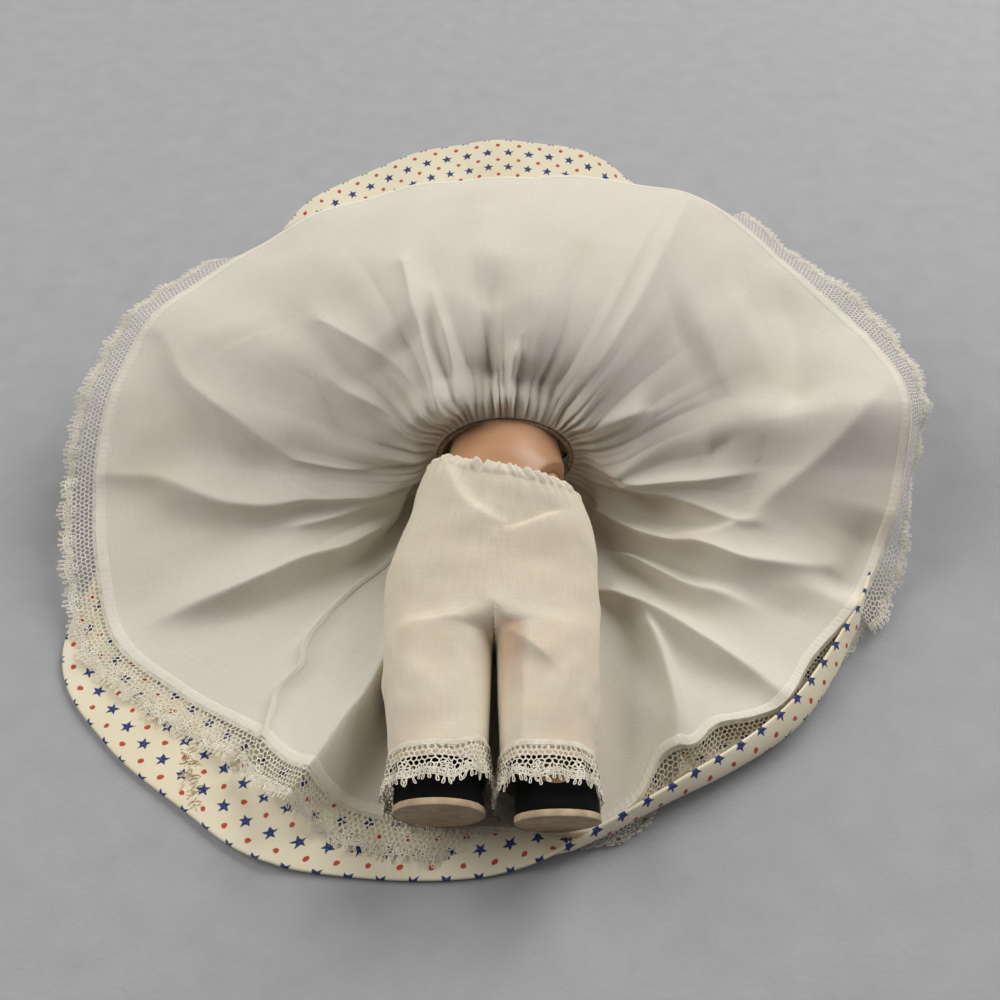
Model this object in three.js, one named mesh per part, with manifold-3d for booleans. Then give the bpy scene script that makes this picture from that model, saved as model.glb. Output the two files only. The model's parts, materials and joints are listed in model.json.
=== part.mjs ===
// A costume doll lying on its back, head towards +Y, feet towards -Y, face up (+Z), in millimetres.
// The front of the skirt is thrown back over the chest and head, so petticoat and dress lie
// spread out as a ring of cloth round the waist, with the pantalettes and shoes in front.
import * as THREE from 'three';
import { LoftGeometry } from 'three/addons/geometries/LoftGeometry.js';
import { mergeVertices } from 'three/addons/utils/BufferGeometryUtils.js';
import Module from 'manifold-3d';

const wasm = await Module();
wasm.setup();

const RAD = Math.PI / 180;

// Fits
const CLEARANCE = 0.35;
const CLOTH = 0.7;

// Body, measured along Y from the waist seam
const BODY_LIFT = 1.8;
const HIP_RX = 20.5;
const HIP_RZ = 16;
const WAIST_RX = 16.5;
const WAIST_RZ = 14;
const CHEST_RX = 17;
const CHEST_RZ = 14.5;
const TORSO_WALL = 1.8;
const CROTCH_Y = -34;
const CROTCH_TO_HIP = 10;
const HIP_INSET = 11;
const WAIST_TO_THIGH = -2.4;
const HIP_CUT_ANGLE = 35;
const TORSO_TOP_Y = 38;
const SHOULDER_DROP = 12;
const SHOULDER_FLAT = 0.8;

// Stringing
const POST_R = 1;
const POST_HEAD_R = 2.1;
const POST_HEAD_LENGTH = 1.4;
const POST_SINK = 4;
const ELASTIC_R = 1;

// Head
const NECK_R = 7.2;
const NECK_WALL = 2;
const NECK_DEPTH = 3.5;
const NECK_LENGTH = 4;
const HEAD_RX = 22.5;
const HEAD_RY = 22;
const HEAD_RZ = 22.5;
const HEAD_LIFT = 1;
const HEAD_WALL = 1.8;
const NOSE_R = 2;
const WIG_THICKNESS = 3;
const EYE_R = 3.7;
const LID_THICKNESS = 0.5;
const EYE_X = 8.2;
const EYE_SET_IN = 3.2;
const WEIGHT_DROP = 9;
const WEIGHT_WIDTH = 6;
const WEIGHT_SIDE = 4;

// Arms, laid back beside the head
const ARM_LENGTH = 48;
const ARM_R = 5.8;
const WRIST_R = 3.5;
const ARM_SPREAD = 27;
const ARM_DROP = 13;
const SLEEVE_LENGTH = 15;
const SLEEVE_PUFF = 3.2;

// Legs and shoes
const LEG_END_Y = -113.4;
const LEG_X = 14.5;
const THIGH_R = 10.2;
const CALF_R = 8.4;
const ANKLE_R = 6.7;
const FOOT_RX = 8.7;
const FOOT_RZ = 10.6;
const TOE_FORWARD = 3.2;
const SHOE_LIFT = 1.5;
const SHOE_WALL = 1;
const SHOE_HEIGHT = 11.5;
const SOLE_THICKNESS = 1.6;
const SOLE_EDGE = 0.6;

// Pantalettes
const PANTS_TOP_Y = -21;
const PANTS_TOP_SLANT = 0.3;
const PANTS_CROTCH_Y = -60;
const PANTS_EASE_X = 3.2;
const PANTS_EASE_Z = 0.6;
const PANTS_HIP_EASE = 0.9;
const PANTS_FOLDS = { count: 6, height: 1, lean: 0.03 };
const CUFF_LACE = 10.6;
const CUFF_TO_SOLE = 12.4;
const ELASTIC_CASING_R = 1.1;

// Skirts
const RING_GAP = 2.6;
const CORD_R = 0.8;
const PETTICOAT_REACH = 114;
const LACE_WIDTH = 11.5;
const SKIRT_RISE = 70;
const TENT_RISE = 92;
const SKIRT_FALL = 40;
const TENT_ROOM = 3.2;
const TUCK_DEPTH = 25;
const WAISTBAND_WIDTH = 3.2;
const NECKLINE_DROP = 3.5;
const SNAP_R = 2;
const SNAP_THICKNESS = 0.8;
const SNAP_SPACING = 12;

// Hem of the petticoat: angle about the waist (0 = +X, 90 = head), reach as a share of
// PETTICOAT_REACH, height as a share of the tent over the face.
const HEM = [
  [0, 1.03, 0.72], [14, 1.03, 0.7], [34, 1.01, 0.73], [54, 1.0, 0.88], [72, 0.95, 0.91],
  [90, 0.92, 0.91], [110, 0.94, 0.87], [129, 0.96, 0.82], [145, 1.0, 0.73], [160, 1.05, 0.66],
  [172, 1.07, 0.5], [183, 1.08, 0.28], [197, 1.08, 0.1], [208, 1.08, 0.02], [220, 1.01, 0],
  [233, 0.96, 0], [246, 1.0, 0], [269, 0.99, 0], [281, 1.02, 0], [287, 0.98, 0.05],
  [292, 0.915, 0.1], [302, 0.9, 0.11], [312, 0.955, 0.11], [321, 0.935, 0.13], [331, 0.965, 0.18],
  [342, 0.995, 0.28], [352, 1.02, 0.47],
];

// Reach of the dress skirt beyond the petticoat hem, in millimetres, by angle: it is
// tucked under on both sides and lies open at the head and at the lower left.
const DRESS_EXTRA = [
  [10, -11], [45, -9], [58, -4], [65, 0], [72, 9], [81, 16], [90, 19], [99, 18], [108, 14], [119, 10],
  [128, 5], [134, 0], [141, -6], [150, -12], [178, -14], [192, -6], [206, 13], [221, 22], [236, 24],
  [252, 16], [268, 11], [281, 3], [296, 9], [312, 8], [330, 1], [350, -6],
];

// How the lace lies: angle, share of its width that shows (it is folded under at the head) and
// degrees that it hangs down from the hem.
const LACE_LIE = [
  [0, 1, 35], [10, 1, 12], [20, 1, 0], [46, 1, 0], [58, 0.3, 0], [90, 0.25, 0], [124, 0.3, 0],
  [138, 0.9, 0], [150, 1, 0], [260, 1, 0], [300, 1, 0], [330, 1, 0], [338, 1, 28], [350, 1, 48],
];

// Main folds: height, widths on the side of growing and of falling angle, share of full run-out
// at the waist end and at the hem end, then the crest line as (angle, share of the way to the hem).
const FOLDS = [
  [6, 7, 4, 1, 0.4, [[132, 0], [126, 0.12], [119.5, 0.415], [118, 0.545]]],
  [4.5, 4, 4, 1, 0.7, [[121.5, 0], [114, 0.235], [113, 0.42]]],
  [4.5, 4, 8, 1, 0.5, [[138, 0], [133, 0.12], [142, 0.44], [145, 0.56]]],
  [4, 4, 5, 1, 0.7, [[148, 0.02], [156, 0.345], [156.5, 0.41]]],
  [4, 4, 14, 1, 0.7, [[171, 0.025], [181, 0.45], [174, 0.64], [162, 0.94]]],
  [6.5, 5, 16, 1, 0.7, [[177, 0.025], [193, 0.205], [196, 0.355], [192.5, 0.645], [183.5, 0.965]]],
  [8, 4.5, 22, 1, 1, [[187, 0.045], [214, 0.25], [218, 0.475], [212.5, 0.705], [207.5, 0.965]]],
  [12, 5, 16, 1, 0.1, [[216.5, 0.235], [239, 0.56], [244.5, 0.82], [244.5, 1.03]]],
  [-6, 6, 10, 1, 1, [[105.5, 0.035], [100, 0.22], [93, 0.54]]],
  [4.5, 4, 4, 1, 0.7, [[93, 0], [86, 0.16], [83.5, 0.27]]],
  [3.4, 14, 4, 1, 0.2, [[58.5, 0.105], [52.5, 0.43], [55.5, 0.915]]],
  [2.4, 4, 18, 1, 0.2, [[59.5, 0.02], [48.5, 0.355], [53.5, 0.895]]],
  [4, 4, 6, 1, 0.8, [[40.5, 0], [24, 0.225], [17, 0.32]]],
  [2, 25, 25, 1, 1, [[18.5, 0.44], [24.5, 0.655]]],
  [-3.5, 9, 14, 1, 0.7, [[349, 0.7], [364, 0.78], [372, 0.8]]],
  [4.5, 9, 4, 1, 1, [[374.5, 0.005], [352.5, 0.22], [348.5, 0.43], [351.5, 0.67]]],
  [7, 11, 4, 1, 0.7, [[369.5, 0.01], [347, 0.24], [339, 0.535], [339.5, 0.67]]],
  [4, 6, 9, 0.5, 0.7, [[339.5, 0.66], [350.5, 0.735], [363, 0.955]]],
  [8, 11, 4, 1, 0.7, [[352.5, 0.01], [328, 0.2], [320.5, 0.42], [327, 0.61], [336.5, 0.895]]],
  [6.5, 7, 5, 1, 1, [[304.5, 0.33], [316.5, 0.66], [324.5, 0.84]]],
  [7, 8, 4, 1, 0.5, [[294, 0.45], [304, 0.66], [312.5, 0.96]]],
  [5.5, 4, 6, 1, 1, [[303.5, 0.62], [301.5, 0.78], [297, 0.95]]],
];
const FOLD_RUN_OUT = 0.3;
const FOLDS_START = 0.09;
const HEAD_FLARE = 62;

const SKIRT_SIDES = 96;
const SKIRT_STEPS = 12;
const SHARED_STEPS = 9;

// Sizes and places that follow from those above
const SHEET_STEP = CLOTH + 1.6 * CLEARANCE;
const FLOOR_LAYERS = SHEET_STEP + CLOTH;
const HIP_ROOM = 2 * CLEARANCE + CLOTH + PANTS_HIP_EASE;
const BODY_Z = FLOOR_LAYERS + BODY_LIFT + HIP_ROOM + HIP_RZ;
const HEAD_Z = HEAD_LIFT + WIG_THICKNESS + HEAD_RZ;
const HEAD_Y = TORSO_TOP_Y + NECK_LENGTH + HEAD_RY;
const FACE_TOP_Z = HEAD_Z + HEAD_RZ + NOSE_R;
const TENT_Z = FACE_TOP_Z + TENT_ROOM;
const HIP_Y = CROTCH_Y + CROTCH_TO_HIP;
const HIP_X = HIP_RX - HIP_INSET;
const SHOULDER_X = CHEST_RX - SHOULDER_FLAT;
const SHOULDER_Y = TORSO_TOP_Y - SHOULDER_DROP;
const POST_HOLE_R = POST_HEAD_R + 0.5;
const SHOE_RX = FOOT_RX + SHOE_WALL + CLEARANCE;
const SHOE_RZ = FOOT_RZ + SHOE_WALL + CLEARANCE;
const FOOT_Z = FLOOR_LAYERS + SHOE_LIFT + SOLE_EDGE + SHOE_RZ;
const ANKLE_Z = FOOT_Z - TOE_FORWARD;
const PANTS_LEG_X = LEG_X + 0.5;
const PANTS_LEG_RX = SHOE_RX + PANTS_EASE_X;
const PANTS_LEG_RZ = SHOE_RZ + PANTS_EASE_Z;
const CUFF_Y = LEG_END_Y + CUFF_TO_SOLE;
const RING_RX = WAIST_RX + RING_GAP + 2 * CORD_R;
const RING_RZ = WAIST_RZ + 0.5 * RING_GAP + 2 * CORD_R;
const FLAT_LENGTH = 0.92 * PETTICOAT_REACH;

const doll = new THREE.Group();

function vec(x, y, z) {
  return new THREE.Vector3(x, y, z);
}

function material(color, roughness, metalness = 0) {
  return new THREE.MeshStandardMaterial({ color, roughness, metalness });
}

function addPart(name, geometry, look) {
  const mesh = new THREE.Mesh(geometry, look);
  mesh.name = name;
  doll.add(mesh);
}

// Closed geometry to a solid for cutting and joining, and back.
function solid(geometry) {
  const bare = new THREE.BufferGeometry();
  bare.setAttribute('position', geometry.attributes.position.clone());
  bare.setIndex(geometry.index);
  const welded = mergeVertices(bare, 1e-3);
  const vertProperties = new Float32Array(welded.attributes.position.array);
  const triVerts = new Uint32Array(dropSlivers(welded.index.array));
  return new wasm.Manifold(new wasm.Mesh({ numProp: 3, vertProperties, triVerts }));
}

function dropSlivers(index) {
  const kept = [];
  for (let i = 0; i < index.length; i += 3) {
    const [a, b, c] = [index[i], index[i + 1], index[i + 2]];
    if (a !== b && b !== c && c !== a) kept.push(a, b, c);
  }
  return kept;
}

function geometryOf(body) {
  const mesh = body.getMesh();
  const geometry = new THREE.BufferGeometry();
  const places = new Float32Array(mesh.vertProperties);
  geometry.setAttribute('position', new THREE.BufferAttribute(places, 3));
  geometry.setIndex(new THREE.BufferAttribute(new Uint32Array(mesh.triVerts), 1));
  return geometry;
}

function wave(phase) {
  return 0.5 + 0.5 * Math.cos(phase);
}

// A stack of ovals along Y: each row is [y, x, z, half width, half depth], lowest y first.
// A folds entry { count, height, lean } stands soft folds on it, leaning round as y grows.
function ovalLoft(rows, sides, grow = 0, folds = null) {
  const sections = [];
  rows.forEach(([y, x, z, rx, rz]) => {
    const points = [];
    for (let i = 0; i < sides; i++) {
      const angle = (i / sides) * 2 * Math.PI;
      const fold = folds ? folds.height * wave(folds.count * angle + folds.lean * y) : 0;
      const [wide, deep] = [rx + grow + fold, rz + grow + fold];
      points.push(vec(x - wide * Math.cos(angle), y, z + deep * Math.sin(angle)));
    }
    sections.push(points);
  });
  return new LoftGeometry(sections, { capStart: true, capEnd: true });
}

// An open tube of cloth: the same stack with its inside taken away.
function ovalTube(rows, sides, wall, folds = null) {
  const sections = [];
  const ends = [rows[0], rows[rows.length - 1]];
  const inner = rows.map(([y, x, z, rx, rz]) => [y, x, z, rx - wall, rz - wall]);
  const middle = inner.slice(1, -1);
  const from = [ends[0][0] - 1, ...inner[0].slice(1)];
  const to = [ends[1][0] + 1, ...inner[inner.length - 1].slice(1)];
  sections.push(from, ...middle, to);
  return solid(ovalLoft(rows, sides, 0, folds)).subtract(solid(ovalLoft(sections, sides, 0, folds)));
}

function box(minX, minY, minZ, maxX, maxY, maxZ) {
  const geometry = new THREE.BoxGeometry(maxX - minX, maxY - minY, maxZ - minZ);
  geometry.translate((minX + maxX) / 2, (minY + maxY) / 2, (minZ + maxZ) / 2);
  return geometry;
}

function ellipsoid(x, y, z, rx, ry, rz, across = 24, up = 14) {
  const geometry = new THREE.SphereGeometry(1, across, up);
  geometry.scale(rx, ry, rz);
  geometry.translate(x, y, z);
  return geometry;
}

// Turns a shape modelled along +Y to lie along a direction.
function turnTo(geometry, direction) {
  const turn = new THREE.Quaternion();
  turn.setFromUnitVectors(vec(0, 1, 0), direction.clone().normalize());
  geometry.applyQuaternion(turn);
}

// A round bar from one point to another.
function bar(from, to, radius, sides = 12) {
  const axis = new THREE.Vector3().subVectors(to, from);
  const geometry = new THREE.CylinderGeometry(radius, radius, axis.length(), sides);
  turnTo(geometry, axis);
  geometry.translate((from.x + to.x) / 2, (from.y + to.y) / 2, (from.z + to.z) / 2);
  return geometry;
}

// Half space beyond a plane, as a large block: everything with normal . (p - point) > 0.
function beyond(point, normal) {
  const size = 400;
  const geometry = new THREE.BoxGeometry(size, size, size);
  geometry.translate(0, size / 2, 0);
  turnTo(geometry, normal);
  geometry.translate(point.x, point.y, point.z);
  return solid(geometry);
}

// A cord along a smooth path.
function cord(points, radius, steps, closed = false) {
  const path = new THREE.CatmullRomCurve3(points, closed);
  const section = new THREE.Shape();
  section.absarc(0, 0, radius, 0, 2 * Math.PI);
  const options = { extrudePath: path, steps, curveSegments: 3, bevelEnabled: false };
  return new THREE.ExtrudeGeometry(section, options);
}

function mirrored(geometry) {
  const flipped = geometry.clone();
  flipped.scale(-1, 1, 1);
  const index = flipped.index.array;
  for (let i = 0; i < index.length; i += 3) [index[i], index[i + 1]] = [index[i + 1], index[i]];
  return flipped;
}

function addPair(name, body, look) {
  const geometry = geometryOf(body);
  addPart(`left_${name}`, geometry, look());
  addPart(`right_${name}`, mirrored(geometry), look());
}

const skin = () => material(0xc99b74, 0.42);
const lawn = () => material(0xe9e2d3, 0.9);
const organdy = () => material(0xe6dcc6, 0.85);
const laceWhite = () => material(0xefe9dc, 0.9);
const steel = () => material(0x9a9a98, 0.35, 0.9);
const elastic = () => material(0xd8d2c2, 0.8);
const print = () => material(0xe4dccb, 0.88);

// Torso: two moulded halves joined at the side seam, hollow, cut off square to each joint.
const hipPoint = vec(HIP_X, HIP_Y, BODY_Z);
const hipAxis = vec(Math.cos(HIP_CUT_ANGLE * RAD), -Math.sin(HIP_CUT_ANGLE * RAD), 0);

function torsoRows() {
  return [
    [CROTCH_Y, 0, BODY_Z, 0.25 * HIP_RX, 0.45 * HIP_RZ],
    [0.86 * CROTCH_Y, 0, BODY_Z, 0.74 * HIP_RX, 0.82 * HIP_RZ],
    [0.62 * CROTCH_Y, 0, BODY_Z, HIP_RX, HIP_RZ],
    [0.38 * CROTCH_Y, 0, BODY_Z, 0.98 * HIP_RX, HIP_RZ],
    [0.16 * CROTCH_Y, 0, BODY_Z, 0.5 * (WAIST_RX + HIP_RX), 0.5 * (WAIST_RZ + HIP_RZ)],
    [0, 0, BODY_Z, WAIST_RX, WAIST_RZ],
    [0.26 * TORSO_TOP_Y, 0, BODY_Z, WAIST_RX, WAIST_RZ],
    [0.6 * TORSO_TOP_Y, 0, BODY_Z, CHEST_RX, CHEST_RZ],
    [0.8 * TORSO_TOP_Y, 0, BODY_Z, 0.92 * CHEST_RX, 0.86 * CHEST_RZ],
    [0.93 * TORSO_TOP_Y, 0, BODY_Z, 0.72 * CHEST_RX, 0.73 * CHEST_RZ],
    [TORSO_TOP_Y, 0, BODY_Z, NECK_R + 2.4, NECK_R + 1.8],
  ];
}

function jointPlanes(body, offset) {
  let cut = body;
  for (const side of [1, -1]) {
    const normal = vec(side * hipAxis.x, hipAxis.y, 0);
    const point = vec(side * HIP_X, HIP_Y, BODY_Z).addScaledVector(normal, -offset);
    cut = cut.subtract(beyond(point, normal));
  }
  return cut;
}

function makeTorso() {
  let body = solid(ovalLoft(torsoRows(), 32));
  body = jointPlanes(body, CLEARANCE / 2);
  const shoulderCut = (side) => {
    const [near, far] = [SHOULDER_X, SHOULDER_X + 30];
    const [minX, maxX] = side > 0 ? [near, far] : [-far, -near];
    return solid(box(minX, SHOULDER_Y - ARM_R - 3, BODY_Z - 40, maxX, TORSO_TOP_Y + 5, BODY_Z + 40));
  };
  body = body.subtract(shoulderCut(1)).subtract(shoulderCut(-1));
  let hollow = solid(ovalLoft(torsoRows().slice(1, -1), 16, -TORSO_WALL));
  hollow = jointPlanes(hollow, CLEARANCE / 2 + TORSO_WALL);
  const inner = SHOULDER_X - TORSO_WALL;
  hollow = hollow.intersect(solid(box(-inner, -200, -200, inner, 200, 200)));
  const top = vec(0, TORSO_TOP_Y + 2, BODY_Z);
  const neckHole = bar(vec(0, TORSO_TOP_Y - 10, BODY_Z), top, NECK_R + CLEARANCE, 24);
  body = body.subtract(hollow).subtract(solid(neckHole));
  const armHole = bar(vec(-60, SHOULDER_Y, BODY_Z), vec(60, SHOULDER_Y, BODY_Z), POST_HOLE_R);
  body = body.subtract(solid(armHole));
  for (const side of [1, -1]) {
    const start = vec(side * HIP_X, HIP_Y, BODY_Z);
    const normal = vec(side * hipAxis.x, hipAxis.y, 0);
    const from = start.clone().addScaledVector(normal, -5);
    const to = start.clone().addScaledVector(normal, 5);
    body = body.subtract(solid(bar(from, to, POST_HOLE_R)));
  }
  const front = body.intersect(beyond(vec(0, 0, BODY_Z), vec(0, 0, 1)));
  const back = body.intersect(beyond(vec(0, 0, BODY_Z), vec(0, 0, -1)));
  addPart('torso_front', geometryOf(front), skin());
  addPart('torso_back', geometryOf(back), skin());
}

// A mushroom-headed post: shank along +Y from the limb, head inside the torso.
function post(shankIn, shankOut) {
  const profile = [
    new THREE.Vector2(0, -shankIn),
    new THREE.Vector2(POST_R, -shankIn),
    new THREE.Vector2(POST_R, shankOut),
    new THREE.Vector2(POST_HEAD_R, shankOut),
    new THREE.Vector2(POST_HEAD_R, shankOut + POST_HEAD_LENGTH),
    new THREE.Vector2(0, shankOut + POST_HEAD_LENGTH),
  ];
  return new THREE.LatheGeometry(profile, 10);
}

function placedPost(shankIn, shankOut, point, direction) {
  const geometry = post(shankIn, shankOut);
  turnTo(geometry, direction);
  geometry.translate(point.x, point.y, point.z);
  return geometry;
}

const POST_REACH = TORSO_WALL + CLEARANCE + 0.5;
const POST_TIP = POST_REACH + POST_HEAD_LENGTH;

function makeStringing() {
  const hipIn = hipAxis.clone().negate();
  addPair('leg_hook', solid(placedPost(POST_SINK, POST_REACH, hipPoint, hipIn)), steel);
  const shoulder = vec(SHOULDER_X, SHOULDER_Y, BODY_Z);
  addPair('arm_hook', solid(placedPost(POST_SINK, POST_REACH, shoulder, vec(-1, 0, 0))), steel);
  const reach = SHOULDER_X - POST_TIP - CLEARANCE;
  const armCord = bar(vec(-reach, SHOULDER_Y, BODY_Z), vec(reach, SHOULDER_Y, BODY_Z), ELASTIC_R, 8);
  addPart('arm_elastic', armCord, elastic());
  const start = hipPoint.clone().addScaledVector(hipIn, POST_TIP + CLEARANCE);
  const next = start.clone().addScaledVector(hipIn, 3);
  const front = BODY_Z + 3 * ELASTIC_R + POST_HEAD_R;
  const path = [start, next, vec(3.5, 8, front), vec(2.5, SHOULDER_Y, front)];
  path.push(vec(0, SHOULDER_Y + 3, front));
  for (let i = 3; i >= 0; i--) path.push(vec(-path[i].x, path[i].y, path[i].z));
  addPart('leg_elastic', cord(path, ELASTIC_R, 18), elastic());
}

// Head: two moulded halves with a neck, eye openings, sleep eyes on a weighted rocker and a wig.
function skull(grow, across, up) {
  const geometry = ellipsoid(0, 0, 0, HEAD_RX + grow, HEAD_RY + grow, HEAD_RZ + grow, across, up);
  const place = geometry.attributes.position;
  for (let i = 0; i < place.count; i++) {
    const low = Math.max(0, -place.getY(i) / HEAD_RY);
    place.setX(i, place.getX(i) * (1 - 0.1 * low * low));
  }
  geometry.translate(0, HEAD_Y, HEAD_Z);
  return solid(geometry);
}

const neckBottom = TORSO_TOP_Y - NECK_DEPTH;
const eyeZ = HEAD_Z + HEAD_RZ * Math.sqrt(1 - (EYE_X / HEAD_RX) ** 2) - EYE_SET_IN;
const eyePoint = vec(EYE_X, HEAD_Y, eyeZ);

function makeHead() {
  const neckTop = HEAD_Y - 0.6 * HEAD_RY;
  const axisPoint = (y) => vec(0, y, BODY_Z);
  const neck = solid(bar(axisPoint(neckBottom), axisPoint(neckTop), NECK_R, 24));
  const bore = solid(bar(axisPoint(neckBottom - 1), axisPoint(neckTop + 2), NECK_R - NECK_WALL, 16));
  const noseZ = HEAD_Z + HEAD_RZ - 0.6;
  const nose = solid(ellipsoid(0, HEAD_Y - 0.3 * HEAD_RY, noseZ, NOSE_R, 1.2 * NOSE_R, NOSE_R, 12, 8));
  let body = skull(0, 26, 16).add(neck).add(nose);
  body = body.subtract(skull(-HEAD_WALL, 16, 10)).subtract(bore);
  const socket = EYE_R + LID_THICKNESS + CLEARANCE;
  for (const side of [1, -1]) {
    const opening = ellipsoid(side * EYE_X, eyePoint.y, eyePoint.z, socket, socket, socket, 12, 8);
    body = body.subtract(solid(opening));
  }
  const seam = vec(0, 0, HEAD_Z);
  addPart('face', geometryOf(body.intersect(beyond(seam, vec(0, 0, 1)))), skin());
  addPart('head_back', geometryOf(body.intersect(beyond(seam, vec(0, 0, -1)))), skin());
  const washerR = NECK_R - NECK_WALL - CLEARANCE;
  const washer = solid(bar(axisPoint(neckBottom + 0.5), axisPoint(neckBottom + 2), washerR, 16));
  const hole = solid(bar(axisPoint(neckBottom), axisPoint(neckBottom + 3), POST_R + CLEARANCE, 10));
  addPart('neck_washer', geometryOf(washer.subtract(hole)), steel());
  const neckHook = placedPost(NECK_DEPTH, 0.5, axisPoint(neckBottom), vec(0, -1, 0));
  addPart('neck_hook', geometryOf(solid(neckHook)), steel());
  makeWig();
}

function makeWig() {
  const outer = new THREE.SphereGeometry(1, 36, 12);
  const place = outer.attributes.position;
  for (let i = 0; i < place.count; i++) {
    const turn = Math.atan2(place.getX(i), place.getZ(i));
    const girth = Math.sqrt(Math.max(0, 1 - place.getY(i) ** 2));
    const curl = 1 - 0.025 * wave(18 * turn) * girth;
    place.setXYZ(i, place.getX(i) * curl, place.getY(i), place.getZ(i) * curl);
  }
  const grow = WIG_THICKNESS;
  outer.scale(HEAD_RX + grow, HEAD_RY + grow, HEAD_RZ + grow);
  outer.translate(0, HEAD_Y, HEAD_Z);
  let hair = solid(outer).subtract(skull(2 * CLEARANCE, 18, 12));
  const faceY = HEAD_Y - 0.36 * HEAD_RY;
  const faceZ = HEAD_Z + HEAD_RZ;
  hair = hair.subtract(solid(ellipsoid(0, faceY, faceZ, 0.82 * HEAD_RX, HEAD_RY, 1.05 * HEAD_RZ)));
  const nape = bar(vec(0, HEAD_Y - 60, BODY_Z), vec(0, HEAD_Y - 0.62 * HEAD_RY, BODY_Z), 40, 24);
  hair = hair.subtract(solid(nape));
  addPart('wig', geometryOf(hair), material(0x5b3a22, 0.6));
}

function makeEyes() {
  const ball = solid(ellipsoid(eyePoint.x, eyePoint.y, eyePoint.z, EYE_R, EYE_R, EYE_R, 10, 8));
  addPair('eye', ball, () => material(0x5a7488, 0.2));
  const lidIn = EYE_R + 0.1;
  const lidOut = EYE_R + LID_THICKNESS;
  const shell = (r) => solid(ellipsoid(eyePoint.x, eyePoint.y, eyePoint.z, r, r, r, 10, 8));
  const front = beyond(eyePoint, vec(0, 0.35, 1));
  addPair('eyelid', shell(lidOut).subtract(shell(lidIn)).intersect(front), skin);
  const inner = EYE_X - EYE_R - LID_THICKNESS - CLEARANCE;
  const wire = (x, drop) => vec(x, eyePoint.y, eyePoint.z - drop);
  const across = bar(wire(-inner, 0), wire(inner, 0), 0.7, 8);
  const drop = bar(wire(0, 0), wire(0, WEIGHT_DROP), 0.6, 8);
  addPart('eye_rocker', geometryOf(solid(across).add(solid(drop))), steel());
  const weightTop = eyePoint.z - WEIGHT_DROP - CLEARANCE;
  const weight = new THREE.BoxGeometry(WEIGHT_WIDTH, WEIGHT_SIDE, WEIGHT_SIDE);
  weight.translate(0, eyePoint.y, weightTop - WEIGHT_SIDE / 2);
  addPart('eye_weight', weight, material(0x6f7074, 0.5, 0.8));
}

// Arms: modelled straight along +Y, then spread out and let down beside the head.
function layArm(geometry) {
  geometry.rotateZ(-ARM_SPREAD * RAD);
  geometry.rotateX(-ARM_DROP * RAD);
  geometry.translate(SHOULDER_X + 0.55 * ARM_R, SHOULDER_Y, BODY_Z);
  return solid(geometry);
}

const shoulderPlane = vec(SHOULDER_X + CLEARANCE, 0, 0);

function armRows(grow) {
  const rows = [
    [-0.16, 0.7, 0.7, 0], [-0.08, 1.02, 1.04, 0], [0, 1.1, 1.12, 0], [0.24, 1.04, 1.04, 0],
    [0.5, 0.92, 0.9, 0], [0.7, 0, 0, 1], [0.78, 0.3, -0.3, 1], [0.88, 0.36, -0.6, 1],
    [0.96, 0, -1.2, 1], [1, -1.4, -2.2, 1],
  ];
  return rows.map(([along, wide, deep, hand]) => {
    const [rx, rz] = hand ? [WRIST_R + 1.6 * wide, WRIST_R + deep] : [ARM_R * wide, ARM_R * deep];
    return [along * ARM_LENGTH, 0, 0, rx + grow, rz + grow];
  });
}

function makeArms() {
  const keep = beyond(shoulderPlane, vec(1, 0, 0));
  const centre = vec(SHOULDER_X, SHOULDER_Y, BODY_Z);
  const holeEnd = centre.clone().setX(SHOULDER_X + POST_SINK + 2 * CLEARANCE);
  const hole = bar(centre, holeEnd, POST_R + CLEARANCE, 12);
  const arm = layArm(ovalLoft(armRows(0), 18)).intersect(keep).subtract(solid(hole));
  addPair('arm', arm, skin);
  const long = SLEEVE_LENGTH;
  const puff = ARM_R + SLEEVE_PUFF;
  const rows = [[-0.35, 0.72], [-0.1, 0.98], [0.2, 1.06], [0.5, 1.05], [0.8, 0.96], [1, 0.82]];
  const outer = rows.map(([along, wide]) => [along * long, 0, 0, wide * puff, wide * puff]);
  const sleeve = layArm(ovalLoft(outer, 16)).subtract(layArm(ovalLoft(armRows(2 * CLEARANCE), 12)));
  const wide = beyond(shoulderPlane.clone().setX(SHOULDER_X + 2 * CLEARANCE), vec(1, 0, 0));
  addPair('sleeve', sleeve.intersect(wide), print);
}

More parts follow.
